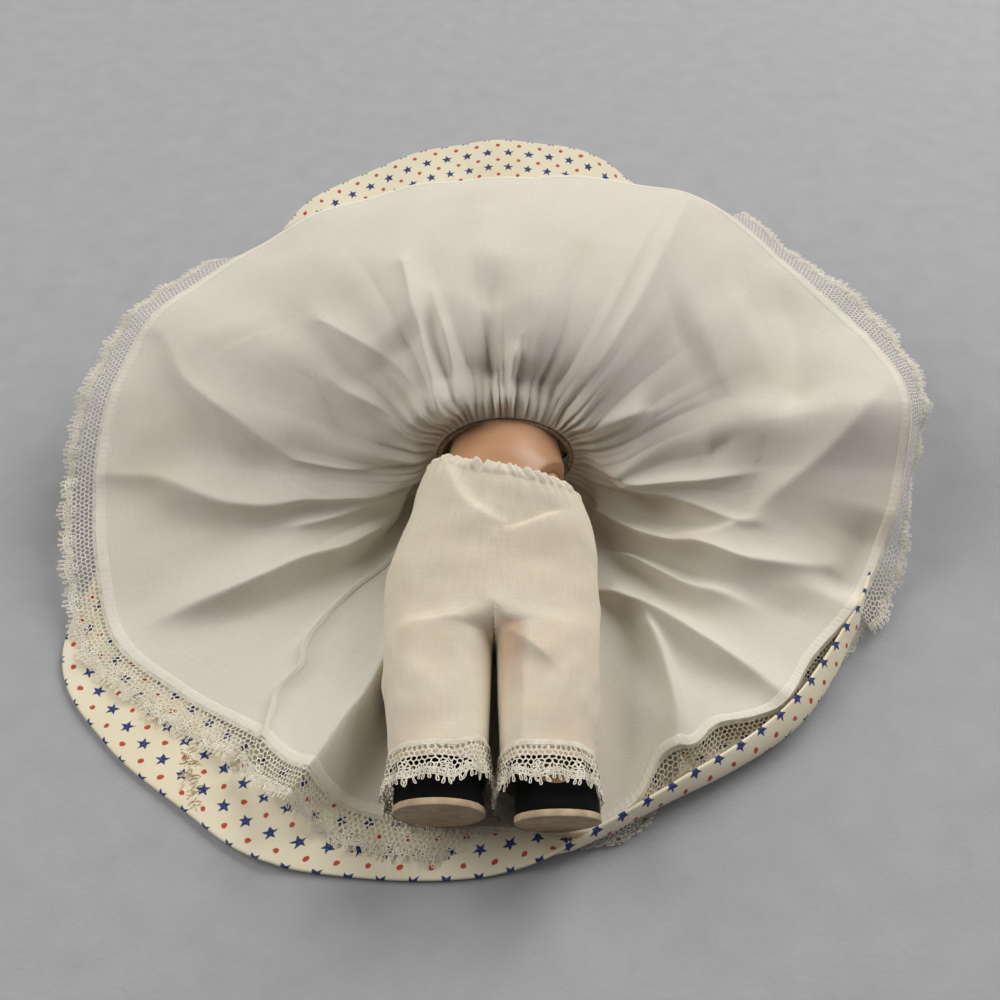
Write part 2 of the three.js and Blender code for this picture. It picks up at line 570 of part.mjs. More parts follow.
// Legs, shoes and soles.
function legRows() {
  const up = (share) => LEG_END_Y + share * (WAIST_TO_THIGH - LEG_END_Y);
  const lift = (share) => ANKLE_Z + share * (BODY_Z - ANKLE_Z);
  const instepZ = 0.35 * FOOT_Z + 0.65 * ANKLE_Z;
  return [
    [LEG_END_Y, LEG_X, FOOT_Z, FOOT_RX - 0.4, FOOT_RZ - 0.3],
    [LEG_END_Y + 3.4, LEG_X, FOOT_Z - 0.2, FOOT_RX, FOOT_RZ],
    [LEG_END_Y + 7.4, LEG_X, instepZ, 0.5 * (FOOT_RX + ANKLE_R), 0.5 * (FOOT_RZ + ANKLE_R)],
    [LEG_END_Y + 11.4, LEG_X, ANKLE_Z + 0.3, ANKLE_R + 0.6, ANKLE_R + 0.9],
    [up(0.14), LEG_X, ANKLE_Z, ANKLE_R, ANKLE_R],
    [up(0.23), LEG_X, lift(0.05), 0.5 * (ANKLE_R + CALF_R), 0.5 * (ANKLE_R + CALF_R)],
    [up(0.32), LEG_X - 0.3, lift(0.15), CALF_R, CALF_R],
    [up(0.43), LEG_X - 0.6, lift(0.27), 0.97 * CALF_R, CALF_R],
    [up(0.54), LEG_X - 1, lift(0.43), 0.5 * (CALF_R + THIGH_R), 0.5 * (CALF_R + THIGH_R)],
    [up(0.66), LEG_X - 1.8, lift(0.67), 0.96 * THIGH_R, THIGH_R],
    [up(0.77), LEG_X - 2.6, lift(0.9), 0.98 * THIGH_R, 1.08 * THIGH_R],
    [up(0.87), LEG_X - 3.7, BODY_Z, 0.94 * THIGH_R, 1.14 * THIGH_R],
    [up(0.955), LEG_X - 4.2, BODY_Z, 0.8 * THIGH_R, 1.1 * THIGH_R],
    [up(1), LEG_X - 4.4, BODY_Z, 0.5 * THIGH_R, 0.7 * THIGH_R],
  ];
}

function makeLegs() {
  const start = hipPoint.clone().addScaledVector(hipAxis, CLEARANCE / 2);
  const holeEnd = hipPoint.clone().addScaledVector(hipAxis, POST_SINK + 2 * CLEARANCE);
  const hole = solid(bar(hipPoint.clone().addScaledVector(hipAxis, -1), holeEnd, POST_R + CLEARANCE, 12));
  const leg = solid(ovalLoft(legRows(), 18)).intersect(beyond(start, hipAxis)).subtract(hole);
  addPair('leg', leg, skin);
  const shoeTop = LEG_END_Y - CLEARANCE + SHOE_HEIGHT;
  const grown = legRows().slice(0, 6);
  grown[0] = [LEG_END_Y - 3, ...grown[0].slice(1)];
  const outer = solid(ovalLoft(grown, 18, SHOE_WALL + CLEARANCE));
  const slab = solid(box(-50, LEG_END_Y - CLEARANCE, -20, 50, shoeTop, 60));
  const upper = outer.intersect(slab).subtract(solid(ovalLoft(grown, 18, CLEARANCE)));
  addPair('shoe_upper', upper, () => material(0x141416, 0.95));
  const soleTop = LEG_END_Y - 2 * CLEARANCE;
  const outline = new THREE.Shape();
  outline.absellipse(LEG_X, FOOT_Z, SHOE_RX + SOLE_EDGE, SHOE_RZ + SOLE_EDGE, 0, 2 * Math.PI, false, 0);
  const slice = { depth: SOLE_THICKNESS, bevelEnabled: false, curveSegments: 14 };
  const sole = new THREE.ExtrudeGeometry(outline, slice);
  sole.rotateX(Math.PI / 2);
  sole.translate(0, soleTop, 0);
  addPair('shoe_sole', solid(sole), () => material(0xa89378, 0.9));
}

// Pantalettes: a loose seat round both thighs, two legs and gathered lace at the ankles.
function makePantalettes() {
  const seatRow = (y, rx, rz, z) => [y, 0, z, rx, rz];
  const wide = PANTS_LEG_X + PANTS_LEG_RX;
  const legZ = FOOT_Z + PANTS_FOLDS.height;
  const hipZ = HIP_RZ + HIP_ROOM;
  const thighZ = 0.4 * PANTS_LEG_RZ + 0.6 * hipZ;
  const seat = [
    seatRow(PANTS_CROTCH_Y, wide, PANTS_LEG_RZ + 0.3, legZ),
    seatRow(PANTS_CROTCH_Y + 11, wide, PANTS_LEG_RZ + 1, legZ + 0.9),
    seatRow(PANTS_CROTCH_Y + 23, 0.7 * wide + 0.3 * HIP_RX, thighZ, 0.5 * (legZ + BODY_Z)),
    seatRow(HIP_Y - 3, 0.4 * wide + 0.6 * HIP_RX + 1, hipZ, BODY_Z),
    seatRow(PANTS_TOP_Y + 9, HIP_RX + HIP_ROOM, hipZ, BODY_Z),
  ];
  const slant = vec(PANTS_TOP_SLANT, 1, 0);
  const seatTop = vec(0, PANTS_TOP_Y, BODY_Z);
  const seatBody = ovalTube(seat, 24, CLOTH, PANTS_FOLDS).subtract(beyond(seatTop, slant));
  addPart('pantalettes_seat', geometryOf(seatBody), organdy());
  const casing = ovalTube(
    [
      [-ELASTIC_CASING_R, 0, BODY_Z, HIP_RX + HIP_ROOM, hipZ],
      [0, 0, BODY_Z, HIP_RX + HIP_ROOM + 0.3, hipZ + 0.3],
      [ELASTIC_CASING_R, 0, BODY_Z, HIP_RX + HIP_ROOM, hipZ],
    ],
    24,
    CLOTH,
  );
  const casingGeometry = geometryOf(casing);
  const shear = new THREE.Matrix4().set(1, 0, 0, 0, -PANTS_TOP_SLANT, 1, 0, 0, 0, 0, 1, 0, 0, 0, 0, 1);
  casingGeometry.applyMatrix4(shear);
  casingGeometry.translate(0, PANTS_TOP_Y + ELASTIC_CASING_R + 2 * CLEARANCE, 0);
  addPart('pantalettes_elastic', casingGeometry, elastic());
  const top = PANTS_CROTCH_Y - CLEARANCE;
  const legRow = (y, rx, rz) => [y, PANTS_LEG_X, legZ, rx, rz];
  const pantLeg = [
    legRow(CUFF_Y, 0.95 * PANTS_LEG_RX, PANTS_LEG_RZ),
    legRow(CUFF_Y + 8, PANTS_LEG_RX, PANTS_LEG_RZ),
    legRow(0.5 * (CUFF_Y + top), PANTS_LEG_RX, PANTS_LEG_RZ),
    legRow(top, PANTS_LEG_RX, PANTS_LEG_RZ),
  ];
  addPair('pantalette_leg', ovalTube(pantLeg, 24, CLOTH, PANTS_FOLDS), organdy);
  const laceRow = (y, grow) => [y, LEG_X, FOOT_Z, 0.95 * PANTS_LEG_RX + grow, PANTS_LEG_RZ + grow];
  const cuffTop = CUFF_Y - CLEARANCE;
  const cuffMiddle = cuffTop - 0.4 * CUFF_LACE;
  const cuff = [laceRow(cuffTop - CUFF_LACE, 0.8), laceRow(cuffMiddle, 0.6), laceRow(cuffTop, 0)];
  addPair('cuff_lace', ovalTube(cuff, 24, CLOTH), laceWhite);
}

// Smooth closed run through [angle, value...] rows.
function around(rows, column, angle) {
  const turn = ((angle % 360) + 360) % 360;
  const count = rows.length;
  let next = rows.findIndex((row) => row[0] > turn);
  if (next < 0) next = count;
  const row = (i) => rows[((i % count) + count) % count];
  const at = (i) => row(i)[0] + 360 * Math.floor(i / count);
  const [a, b] = [at(next - 1), at(next)];
  const share = (turn - a) / (b - a);
  const [p, q, r, s] = [-2, -1, 0, 1].map((step) => row(next + step)[column]);
  const slope = (u, v) => 0.5 * (v - u);
  const [t2, t3] = [share * share, share ** 3];
  const ends = (2 * t3 - 3 * t2 + 1) * q + (3 * t2 - 2 * t3) * r;
  return ends + (t3 - 2 * t2 + share) * slope(p, r) + (t3 - t2) * slope(q, s);
}

function ease(x) {
  const share = Math.min(1, Math.max(0, x));
  return share * share * (3 - 2 * share);
}

// Place on the petticoat laid out flat.
function flatPlace(angle, along) {
  const radius = RING_RX + FLAT_LENGTH * along;
  return [radius * Math.cos(angle * RAD), radius * Math.sin(angle * RAD)];
}

// Share of a fold's height near one end. A small run-out leaves a blunt nose.
function foldEnd(run, runOut) {
  return 1 - runOut + runOut * ease(run / FOLD_RUN_OUT);
}

function foldRise([rise, wideLeft, wideRight, runIn, runOut, crest], [x, y]) {
  const line = crest.map(([angle, along]) => flatPlace(angle, along));
  let [best, run, lean, length] = [Infinity, 0, 0, 0];
  for (let i = 1; i < line.length; i++) {
    const [ax, ay] = line[i - 1];
    const [dx, dy] = [line[i][0] - ax, line[i][1] - ay];
    const size = Math.hypot(dx, dy);
    const share = Math.min(1, Math.max(0, ((x - ax) * dx + (y - ay) * dy) / size ** 2));
    const [ox, oy] = [x - ax - share * dx, y - ay - share * dy];
    const gap = Math.hypot(ox, oy);
    if (gap < best) {
      [best, run] = [gap, length + share * size];
      lean = gap > 0 ? (dx * oy - dy * ox) / (size * gap) : 0;
    }
    length += size;
  }
  const width = wideRight + 0.5 * (wideLeft - wideRight) * (1 + lean);
  const ends = foldEnd(run / length, runIn) * foldEnd(1 - run / length, runOut);
  return rise * ends * Math.exp(-best / width);
}

function foldHeight(angle, along) {
  const place = flatPlace(angle, Math.min(along, 1));
  const total = FOLDS.reduce((sum, fold) => sum + foldRise(fold, place), 0);
  return total * ease(along / FOLDS_START);
}

// Petticoat sheet before its folds: a curve from the waist ring out to the hem at each angle.
function basePoint(angle, along) {
  const [c, s] = [Math.cos(angle * RAD), Math.sin(angle * RAD)];
  const reach = PETTICOAT_REACH * around(HEM, 1, angle);
  const hemZ = FLOOR_LAYERS + around(HEM, 2, angle) * (TENT_Z - FLOOR_LAYERS);
  const start = vec(RING_RX * c, 0, BODY_Z + RING_RZ * s);
  const leave = vec(SKIRT_RISE * c, 0, (s > 0 ? TENT_RISE : SKIRT_RISE) * s);
  const hem = vec(reach * c, reach * s, hemZ);
  const arrive = vec(reach * c, reach * s, -SKIRT_FALL * Math.max(0, s));
  const t = Math.min(along, 1);
  const [t2, t3] = [t * t, t ** 3];
  const point = start.multiplyScalar(2 * t3 - 3 * t2 + 1);
  point.addScaledVector(leave, t3 - 2 * t2 + t);
  point.addScaledVector(hem, 3 * t2 - 2 * t3);
  point.addScaledVector(arrive, t3 - t2);
  if (along > 1) point.addScaledVector(arrive, along - 1);
  return point;
}

// Point of a layer at a depth below the folded petticoat, kept above the floor.
function layerPoint(angle, along, depth) {
  const side = basePoint(angle + 3, along).sub(basePoint(angle - 3, along));
  const out = basePoint(angle, along + 0.05).sub(basePoint(angle, Math.max(0, along - 0.05)));
  const normal = out.cross(side).normalize();
  const point = basePoint(angle, along).addScaledVector(normal, foldHeight(angle, along) - depth);
  point.z = Math.max(point.z, FLOOR_LAYERS - depth);
  return point;
}

// Rise of the cloth past the hem at the head, where the dress stands up behind the petticoat.
function headFlare(angle, along) {
  return HEAD_FLARE * ease((angle - 58) / 14) * ease((138 - angle) / 14) * Math.max(0, along - 1);
}

// Point of the lace: it leaves the hem outwards and hangs down by its turn.
function lacePoint(angle, along, depth) {
  const hem = layerPoint(angle, 1, depth);
  const flat = layerPoint(angle, along, depth).sub(hem);
  const turn = around(LACE_LIE, 2, angle) * RAD;
  const point = hem.addScaledVector(flat, Math.cos(turn));
  const drop = flat.length() * Math.sin(turn) - headFlare(angle, along);
  point.z = Math.max(point.z - drop, FLOOR_LAYERS - depth);
  return point;
}

// A ring of cloth: shares(angle) lists the shares of the way to the hem, place(angle, along, depth)
// gives the points of its face and of its underside.
function clothRing(shares, place) {
  const sections = [];
  for (let i = 0; i <= SKIRT_SIDES; i++) {
    const angle = ((i % SKIRT_SIDES) / SKIRT_SIDES) * 360;
    const run = shares(angle);
    const top = run.map((along) => place(angle, along, 0));
    const bottom = run.map((along) => place(angle, along, CLOTH));
    sections.push([...top, ...bottom.reverse()]);
  }
  const geometry = new LoftGeometry(sections);
  matchDiagonals(geometry.index.array, sections[0].length);
  return solid(geometry);
}

// Splits the four-sided patches of a sheet's underside along the same lines as those of its face,
// so that the layers lie parallel.
function matchDiagonals(index, columns) {
  for (let patch = 0; 6 * patch < index.length; patch++) {
    if (patch % columns < columns / 2) continue;
    const [a, b, d, , c] = index.slice(6 * patch, 6 * patch + 5);
    index.set([a, b, c, a, c, d], 6 * patch);
  }
}

function ovalPath(y, rx, rz, count) {
  const points = [];
  for (let i = 0; i < count; i++) {
    const angle = (i / count) * 2 * Math.PI;
    points.push(vec(rx * Math.cos(angle), y, BODY_Z + rz * Math.sin(angle)));
  }
  return points;
}

function makeSkirts() {
  const reach = (angle) => PETTICOAT_REACH * around(HEM, 1, angle);
  const dressEnd = (angle) => 1 + around(DRESS_EXTRA, 1, angle) / reach(angle);
  const shared = Array.from({ length: SHARED_STEPS + 1 }, (_, j) => j / SKIRT_STEPS);
  const freeSteps = SKIRT_STEPS - SHARED_STEPS;
  const rest = Array.from({ length: freeSteps }, (_, j) => (j + 1) / freeSteps);
  const from = SHARED_STEPS / SKIRT_STEPS;
  const steps = (end) => [...shared, ...rest.map((share) => from + (end - from) * share)];
  const dressRun = (angle) => [...steps(Math.min(1, dressEnd(angle) - 0.02)), dressEnd(angle)];
  const laceWidth = (angle) => LACE_WIDTH * around(LACE_LIE, 1, angle);
  const laceRun = (angle) => [1 + CLEARANCE / reach(angle), 1 + laceWidth(angle) / reach(angle)];
  const dressPoint = (angle, along, depth) => {
    const tuck = TUCK_DEPTH * along * Math.max(0, 1 - dressEnd(angle));
    const point = layerPoint(angle, along, SHEET_STEP + tuck + depth);
    point.z += headFlare(angle, along);
    return point;
  };
  addPart('petticoat_skirt', geometryOf(clothRing(() => steps(1), layerPoint)), lawn());
  addPart('petticoat_lace', geometryOf(clothRing(laceRun, lacePoint)), laceWhite());
  addPart('dress_skirt', geometryOf(clothRing(dressRun, dressPoint)), print());
  const rope = ovalPath(0, RING_RX - CORD_R - CLEARANCE, RING_RZ - CORD_R - CLEARANCE, 12);
  const ring = geometryOf(solid(cord(rope, CORD_R, 28, true)));
  addPart('petticoat_waist_cord', ring, material(0xb59a78, 0.9));
}

// Dress bodice: front and two backs with a snap closing, joined to the skirts by a waistband.
function makeBodice() {
  const low = 2 * SHEET_STEP + 2 * CLEARANCE;
  const bandTop = low + WAISTBAND_WIDTH;
  const band = ovalTube(
    [
      [low, 0, BODY_Z, RING_RX, RING_RZ],
      [bandTop, 0, BODY_Z, WAIST_RX + 2 * CLEARANCE + 2 * CLOTH, WAIST_RZ + 2 * CLEARANCE + 2 * CLOTH],
    ],
    32,
    CLOTH,
  );
  addPart('dress_waistband', geometryOf(band), print());
  const outer = solid(ovalLoft(torsoRows(), 32, 2 * CLEARANCE + CLOTH));
  const inner = solid(ovalLoft(torsoRows(), 32, 2 * CLEARANCE));
  let shell = outer.subtract(inner);
  shell = shell.intersect(solid(box(-60, bandTop + CLEARANCE, -60, 60, TORSO_TOP_Y - NECKLINE_DROP, 100)));
  for (const side of [1, -1]) {
    const [minX, maxX] = side > 0 ? [SHOULDER_X - CLEARANCE, 60] : [-60, -SHOULDER_X + CLEARANCE];
    shell = shell.subtract(solid(box(minX, SHOULDER_Y - ARM_R - SLEEVE_PUFF - 1, -60, maxX, 100, 100)));
  }
  const seam = CLEARANCE / 2;
  const piece = (minX, minZ, maxX, maxZ) => {
    return geometryOf(shell.intersect(solid(box(minX, -60, minZ, maxX, 100, maxZ))));
  };
  addPart('bodice_front', piece(-60, BODY_Z + seam, 60, 100), print());
  addPart('bodice_back_left', piece(seam, -60, 60, BODY_Z - seam), print());
  addPart('bodice_back_right', piece(-60, -60, -seam, BODY_Z - seam), print());
  const snapZ = BODY_Z - CHEST_RZ - 3 * CLEARANCE - CLOTH;
  ['lower', 'upper'].forEach((place, i) => {
    const y = bandTop + 2 * SNAP_R + i * SNAP_SPACING;
    const snap = bar(vec(0, y, snapZ - SNAP_THICKNESS), vec(0, y, snapZ), SNAP_R, 12);
    addPart(`bodice_snap_${place}`, snap, steel());
  });
}

makeTorso();
makeStringing();
makeHead();
makeEyes();
makeArms();
makeLegs();
makePantalettes();
makeSkirts();
makeBodice();

// Origin on the floor under the middle of the whole spread.
const bounds = new THREE.Box3().setFromObject(doll);
const middle = bounds.getCenter(new THREE.Vector3());
doll.position.set(-middle.x, -middle.y, -bounds.min.z);

export default doll;
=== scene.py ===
"""Looks of the costume doll: a strung doll on its back with petticoat and skirt thrown open."""
import json
import math

import bpy
import numpy as np
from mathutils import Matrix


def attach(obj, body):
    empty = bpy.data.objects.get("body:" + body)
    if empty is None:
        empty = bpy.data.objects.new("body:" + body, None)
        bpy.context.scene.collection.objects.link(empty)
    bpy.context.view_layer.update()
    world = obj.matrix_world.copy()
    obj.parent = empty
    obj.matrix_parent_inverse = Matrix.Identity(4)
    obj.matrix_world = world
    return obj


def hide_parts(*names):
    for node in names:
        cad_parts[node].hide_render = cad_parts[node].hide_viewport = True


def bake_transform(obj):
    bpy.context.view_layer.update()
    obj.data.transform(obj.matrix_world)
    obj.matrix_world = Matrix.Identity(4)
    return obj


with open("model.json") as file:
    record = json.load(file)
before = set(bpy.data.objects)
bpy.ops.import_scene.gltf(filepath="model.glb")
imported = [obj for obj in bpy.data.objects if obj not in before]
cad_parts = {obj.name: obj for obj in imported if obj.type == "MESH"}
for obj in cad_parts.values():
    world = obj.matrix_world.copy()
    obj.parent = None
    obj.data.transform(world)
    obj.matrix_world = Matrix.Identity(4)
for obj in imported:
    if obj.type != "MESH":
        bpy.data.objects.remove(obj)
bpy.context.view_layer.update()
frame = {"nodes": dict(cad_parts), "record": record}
NODES = frame["nodes"]

# Lengths are in millimetres from the middle of the waist seam, at floor level, as in the part's
# source. SHIFT takes them to the row frame.
SHIFT = np.array((3.468, 1.351, 0.0))
RAD = math.pi / 180
SIDES = ((1, "left"), (-1, "right"))

# Step from the petticoat down to the dress, the petticoat's height on the floor, the lowest cloth,
# and the height over the floor within which folds are eased.
SHEET_STEP = 1.26
FLOOR_LAYERS = 1.96
LOWEST = 0.3
FLOOR_EASE = 1.5

# Middle of the body, top of the tent over the head, and the oval waist ring.
BODY_Z = 22.06
TENT_Z = 54.2
RING_RX = 20.7
RING_RZ = 16.9
RING_Y = -4.5
RING_Z = 20.6

# Reach of the petticoat, how hard its curve leaves the ring and reaches the hem, and its length.
REACH = 114.0
SKIRT_RISE = 70.0
TENT_RISE = 110.0
SKIRT_FALL = 40.0
SKIRT_LENGTH = 105.0
HEM_WIDTH = 2.9

# Lace: its width, lap over the hem, how far it may sink towards the floor, picots beyond the edge,
# pitch of the net, width of its thread, and the width of a cuff.
LACE_WIDTH = 10.6
LACE_LAP = 0.5
LACE_SINK = 0.5
LACE_PICOTS = 1.4
LACE_PITCH = 1.4
LACE_THREAD = 0.32
CUFF_WIDTH = 11.6

# Middle of a leg from the middle between the legs.
LEG_X = 14.5

# Hem of the petticoat: angle, reach as a share of REACH, height as a share of the tent.
HEM = np.array((
    (0, 1.03, 0.72), (14, 1.03, 0.7), (34, 1.01, 0.73), (54, 1.0, 0.88), (72, 0.95, 0.91),
    (90, 0.92, 0.91), (110, 0.94, 0.87), (129, 0.96, 0.82), (145, 1.0, 0.73), (160, 1.05, 0.66),
    (172, 1.07, 0.5), (183, 1.08, 0.28), (197, 1.08, 0.1), (208, 1.08, 0.02), (220, 1.01, 0),
    (233, 0.96, 0), (246, 1.0, 0), (269, 0.99, 0), (281, 1.02, 0.04), (287, 0.98, 0.08),
    (292, 0.915, 0.1), (297, 0.92, 0.11), (302, 0.9, 0.11), (307, 0.93, 0.11), (312, 0.955, 0.11),
    (321, 0.935, 0.13), (331, 0.965, 0.18), (342, 0.995, 0.28), (352, 1.02, 0.47)))

# Reach of the dress beyond the petticoat hem by angle.
DRESS_EXTRA = np.array((
    (10, -11), (45, -9), (58, -4), (65, 0), (72, 9), (81, 16), (90, 19), (99, 18), (108, 14),
    (119, 10), (128, 5), (134, 0), (141, -6), (150, -12), (178, -14), (192, -6), (206, 13),
    (221, 22), (236, 24), (252, 16), (268, 11), (281, 3), (296, 4), (312, 4), (330, 1),
    (350, -6)), float)

# Standing lip of the dress on the near right: angle, radius at the floor, radius of its crest, height.
LIP = np.array((
    (0, 117, 113, 9), (266, 122, 123, 3), (274.5, 120.3, 121.5, 5.5), (281, 117.4, 117.4, 8),
    (288, 114.6, 113.8, 9), (295, 114.2, 111.5, 9.3), (304, 115.1, 110.8, 9.6),
    (312, 115.7, 110.6, 9.8), (321, 114.6, 109.8, 10), (330, 113, 110.5, 10.5),
    (345, 116, 114, 12)), float)

# Back seam of the petticoat: (angle, share of the way to the hem).
SEAM_LINE = (
    (230.5, 0.395), (230.5, 0.46), (228, 0.545), (227.5, 0.635), (228, 0.71), (229, 0.765),
    (231.5, 0.815), (231.5, 0.885), (233, 0.935), (235.5, 1.0))

# Folds of the skirts: height, widths to the left and right of the crest's line, softness of the
# crest, taper at the line's start and end, then the line's (angle, share of the way to the hem).
FOLDS = (
    (6, 7, 3, 0.4, 0.3, 0.12, ((132, 0.0), (126, 0.12), (122.5, 0.255), (119.5, 0.415),
        (118, 0.545))),
    (4.5, 3.5, 3, 0.4, 0.3, 0.2, ((121.5, 0.0), (119, 0.1), (114, 0.235), (113, 0.36),
        (113, 0.42))),
    (4.5, 2.8, 8, 0.4, 0.3, 0.15, ((138, 0.0), (133, 0.12), (134.5, 0.245), (142, 0.44),
        (145, 0.56))),
    (4, 2.6, 5, 0.5, 0.3, 0.2, ((148, 0.02), (150.5, 0.16), (156, 0.345), (156.5, 0.41))),
    (4, 2.2, 14, 0.5, 0.3, 0.2, ((171, 0.025), (180.5, 0.275), (181, 0.45), (178, 0.53),
        (174, 0.64), (171.5, 0.735), (168.5, 0.825), (164, 0.895), (162, 0.94))),
    (6.5, 3.4, 16, 0.8, 0.3, 0.2, ((177, 0.025), (193, 0.205), (196, 0.355), (194.5, 0.47),
        (194.5, 0.56), (192.5, 0.645), (190, 0.715), (186.5, 0.795), (184.5, 0.855),
        (183.5, 0.965))),
    (3.5, 3, 5, 0.8, 0.3, 0.3, ((196, 0.2), (203, 0.34), (203.5, 0.46), (199.5, 0.58))),
    (10, 3, 20, 0.7, 0.15, 0.3, ((187, 0.045), (214, 0.25), (217.5, 0.335), (218, 0.475),
        (214.5, 0.575), (212.5, 0.705), (209, 0.84), (207.5, 0.965))),
    (2.4, 3.2, 1.2, 0.4, 0.3, 0.06, SEAM_LINE),
    (15, 3.6, 15, 0.7, 0.4, 0.03, ((252, 0.4), (249, 0.56), (246.5, 0.675), (247, 0.745),
        (247, 0.815), (246, 0.875), (245.5, 0.945), (245, 1.01), (245, 1.04))),
    (-9, 5, 5, 2, 0.2, 0.2, ((200.5, 0.06), (214.5, 0.165), (220.5, 0.265), (226.5, 0.365))),
    (-7, 7, 10, 2.5, 0.3, 0.3, ((105.5, 0.035), (100, 0.22), (95.5, 0.37), (93, 0.54))),
    (-4, 12, 12, 5, 0.3, 0.3, ((128, 0.1), (127, 0.25), (128, 0.38))),
    (4.5, 3, 4, 0.6, 0.3, 0.2, ((93, 0.0), (88.5, 0.065), (86, 0.16), (85.5, 0.205), (83.5, 0.27))),
    (3, 2.5, 2.5, 0.5, 0.3, 0.3, ((100.5, 0.0), (94.5, 0.03), (97, 0.095), (93, 0.145))),
    (1.8, 10, 3, 0.8, 0.3, 0.1, ((57, 0.2), (55.5, 0.365), (55.5, 0.5), (56, 0.62), (56.5, 0.78),
        (57, 0.95))),
    (3, 3, 9, 0.8, 0.3, 0.05, ((53.5, 0.095), (49.5, 0.165), (49, 0.265), (49.5, 0.365),
        (49.5, 0.45), (50.5, 0.575), (52, 0.715), (54.5, 0.925))),
    (4, 4, 6, 0.8, 0.3, 0.25, ((40.5, 0.0), (31.5, 0.105), (24, 0.225), (17, 0.32))),
    (-1.8, 2.2, 2.6, 0.8, 0.3, 0.2, ((355.5, 0.46), (357.5, 0.55))),
    (3, 15, 16, 8, 0.3, 0.3, ((34, 0.5), (29, 0.78))),
    (-6, 8, 9, 3, 0.3, 0.3, ((126, 0.17), (111, 0.13), (90, 0.12), (69, 0.12), (46, 0.18))),
    (2.5, 10, 10, 4, 0.3, 0.3, ((120, 0.37), (105, 0.38), (85, 0.38), (66, 0.36))),
    (-5, 7, 9, 3, 0.3, 0.3, ((331, 0.95), (336, 0.95), (341, 0.95), (347, 0.96))),
    (-4.5, 8, 8, 3, 0.3, 0.3, ((356.5, 0.645), (363, 0.705), (375.5, 0.79), (385, 0.865),
        (396, 0.94))),
    (4.5, 9, 2.4, 0.5, 0.3, 0.3, ((374.5, 0.005), (352.5, 0.22), (348.5, 0.43), (350.5, 0.595),
        (351.5, 0.67))),
    (7, 11, 3, 0.6, 0.3, 0.2, ((369.5, 0.01), (347, 0.24), (341.5, 0.425), (339, 0.535),
        (338.5, 0.64), (339.5, 0.67))),
    (4, 6, 9, 0.8, 0.15, 0.2, ((339.5, 0.66), (345, 0.68), (350.5, 0.735), (355, 0.805),
        (358.5, 0.87), (363, 0.955))),
    (8, 11, 3, 0.6, 0.3, 0.2, ((352.5, 0.01), (328, 0.2), (322, 0.275), (320.5, 0.42),
        (323.5, 0.535), (327, 0.61), (329, 0.71), (333, 0.805), (336.5, 0.895))),
    (2.5, 2.6, 8, 0.5, 0.3, 0.2, ((324, 0.52), (332, 0.59), (340, 0.655))),
    (6.5, 7, 4.5, 0.8, 0.3, 0.3, ((304.5, 0.33), (311.5, 0.485), (316.5, 0.66), (320.5, 0.745),
        (324.5, 0.84))),
    (7, 8, 3, 0.6, 0.3, 0.15, ((294, 0.45), (297, 0.53), (304, 0.66), (308, 0.76), (312, 0.9),
        (312.5, 0.96))),
    (5.5, 2.4, 6, 0.8, 0.3, 0.1, ((303.5, 0.62), (302.5, 0.7), (301.5, 0.78), (299, 0.87),
        (294.5, 1.0))),
    (-2.5, 7, 8, 3, 0.3, 0.1, ((331, 0.86), (321, 0.9), (313, 0.93))),
)


def metres(points):
    return (np.asarray(points, float) + SHIFT) / 1000


def smooth(x):
    x = np.clip(x, 0, 1)
    return x * x * (3 - 2 * x)


def between(x, start, rise, end, fall):
    """1 in the middle of a stretch, easing to 0 at its start and end."""
    return smooth((x - start) / rise) * smooth((end - x) / fall)


def full_turn(count, turn=2 * math.pi):
    return np.linspace(0, turn, count, endpoint=False)


def lattice(a, b):
    """Each a paired with each b, as two arrays."""
    return np.meshgrid(a, b, indexing="ij")


def uv_map(u, v):
    return np.stack(lattice(u, v), -1)


def run_length(points):
    """Length along a polyline at each of its points."""
    return np.append(0, np.cumsum(np.linalg.norm(np.diff(points, axis=0), axis=1)))


def around(rows, column, angle):
    """Smooth closed run through (angle, value...) rows."""
    turn = np.mod(angle, 360.0)
    count = len(rows)
    after = np.searchsorted(rows[:, 0], turn, side="right")

    def value(step):
        return rows[(after + step) % count, column]

    def place(step):
        return rows[(after + step) % count, 0] + 360 * np.floor((after + step) / count)

    share = (turn - place(-1)) / (place(0) - place(-1))
    s2, s3 = share ** 2, share ** 3
    p, q, r, s = (value(k) for k in (-2, -1, 0, 1))
    ends = (2 * s3 - 3 * s2 + 1) * q + (3 * s2 - 2 * s3) * r
    return ends + (s3 - 2 * s2 + share) * 0.5 * (r - p) + (s3 - s2) * 0.5 * (s - q)


def base_point(angle, along):
    """The spread petticoat before its folds: a curve from the waist ring to the hem at each angle."""
    c, s = np.cos(angle * RAD), np.sin(angle * RAD)
    reach = REACH * around(HEM, 1, angle)
    hem_z = FLOOR_LAYERS + around(HEM, 2, angle) * (TENT_Z - FLOOR_LAYERS)
    t = np.minimum(along, 1)
    past = np.maximum(along - 1, 0)
    t2, t3 = t ** 2, t ** 3
    start, leave = 2 * t3 - 3 * t2 + 1, t3 - 2 * t2 + t
    end, arrive = 3 * t2 - 2 * t3, t3 - t2 + past
    x = c * (RING_RX * start + SKIRT_RISE * leave + reach * (end + arrive))
    y = s * reach * (end + arrive) + RING_Y * start
    rise = np.where(s > 0, TENT_RISE, SKIRT_RISE)
    z = (RING_Z + RING_RZ * s) * start + s * rise * leave + hem_z * end
    z = z - SKIRT_FALL * np.maximum(0, s) * arrive
    return np.stack((x, y, z), -1)


def unit(v):
    return v / (np.linalg.norm(v, axis=-1, keepdims=True) + 1e-12)


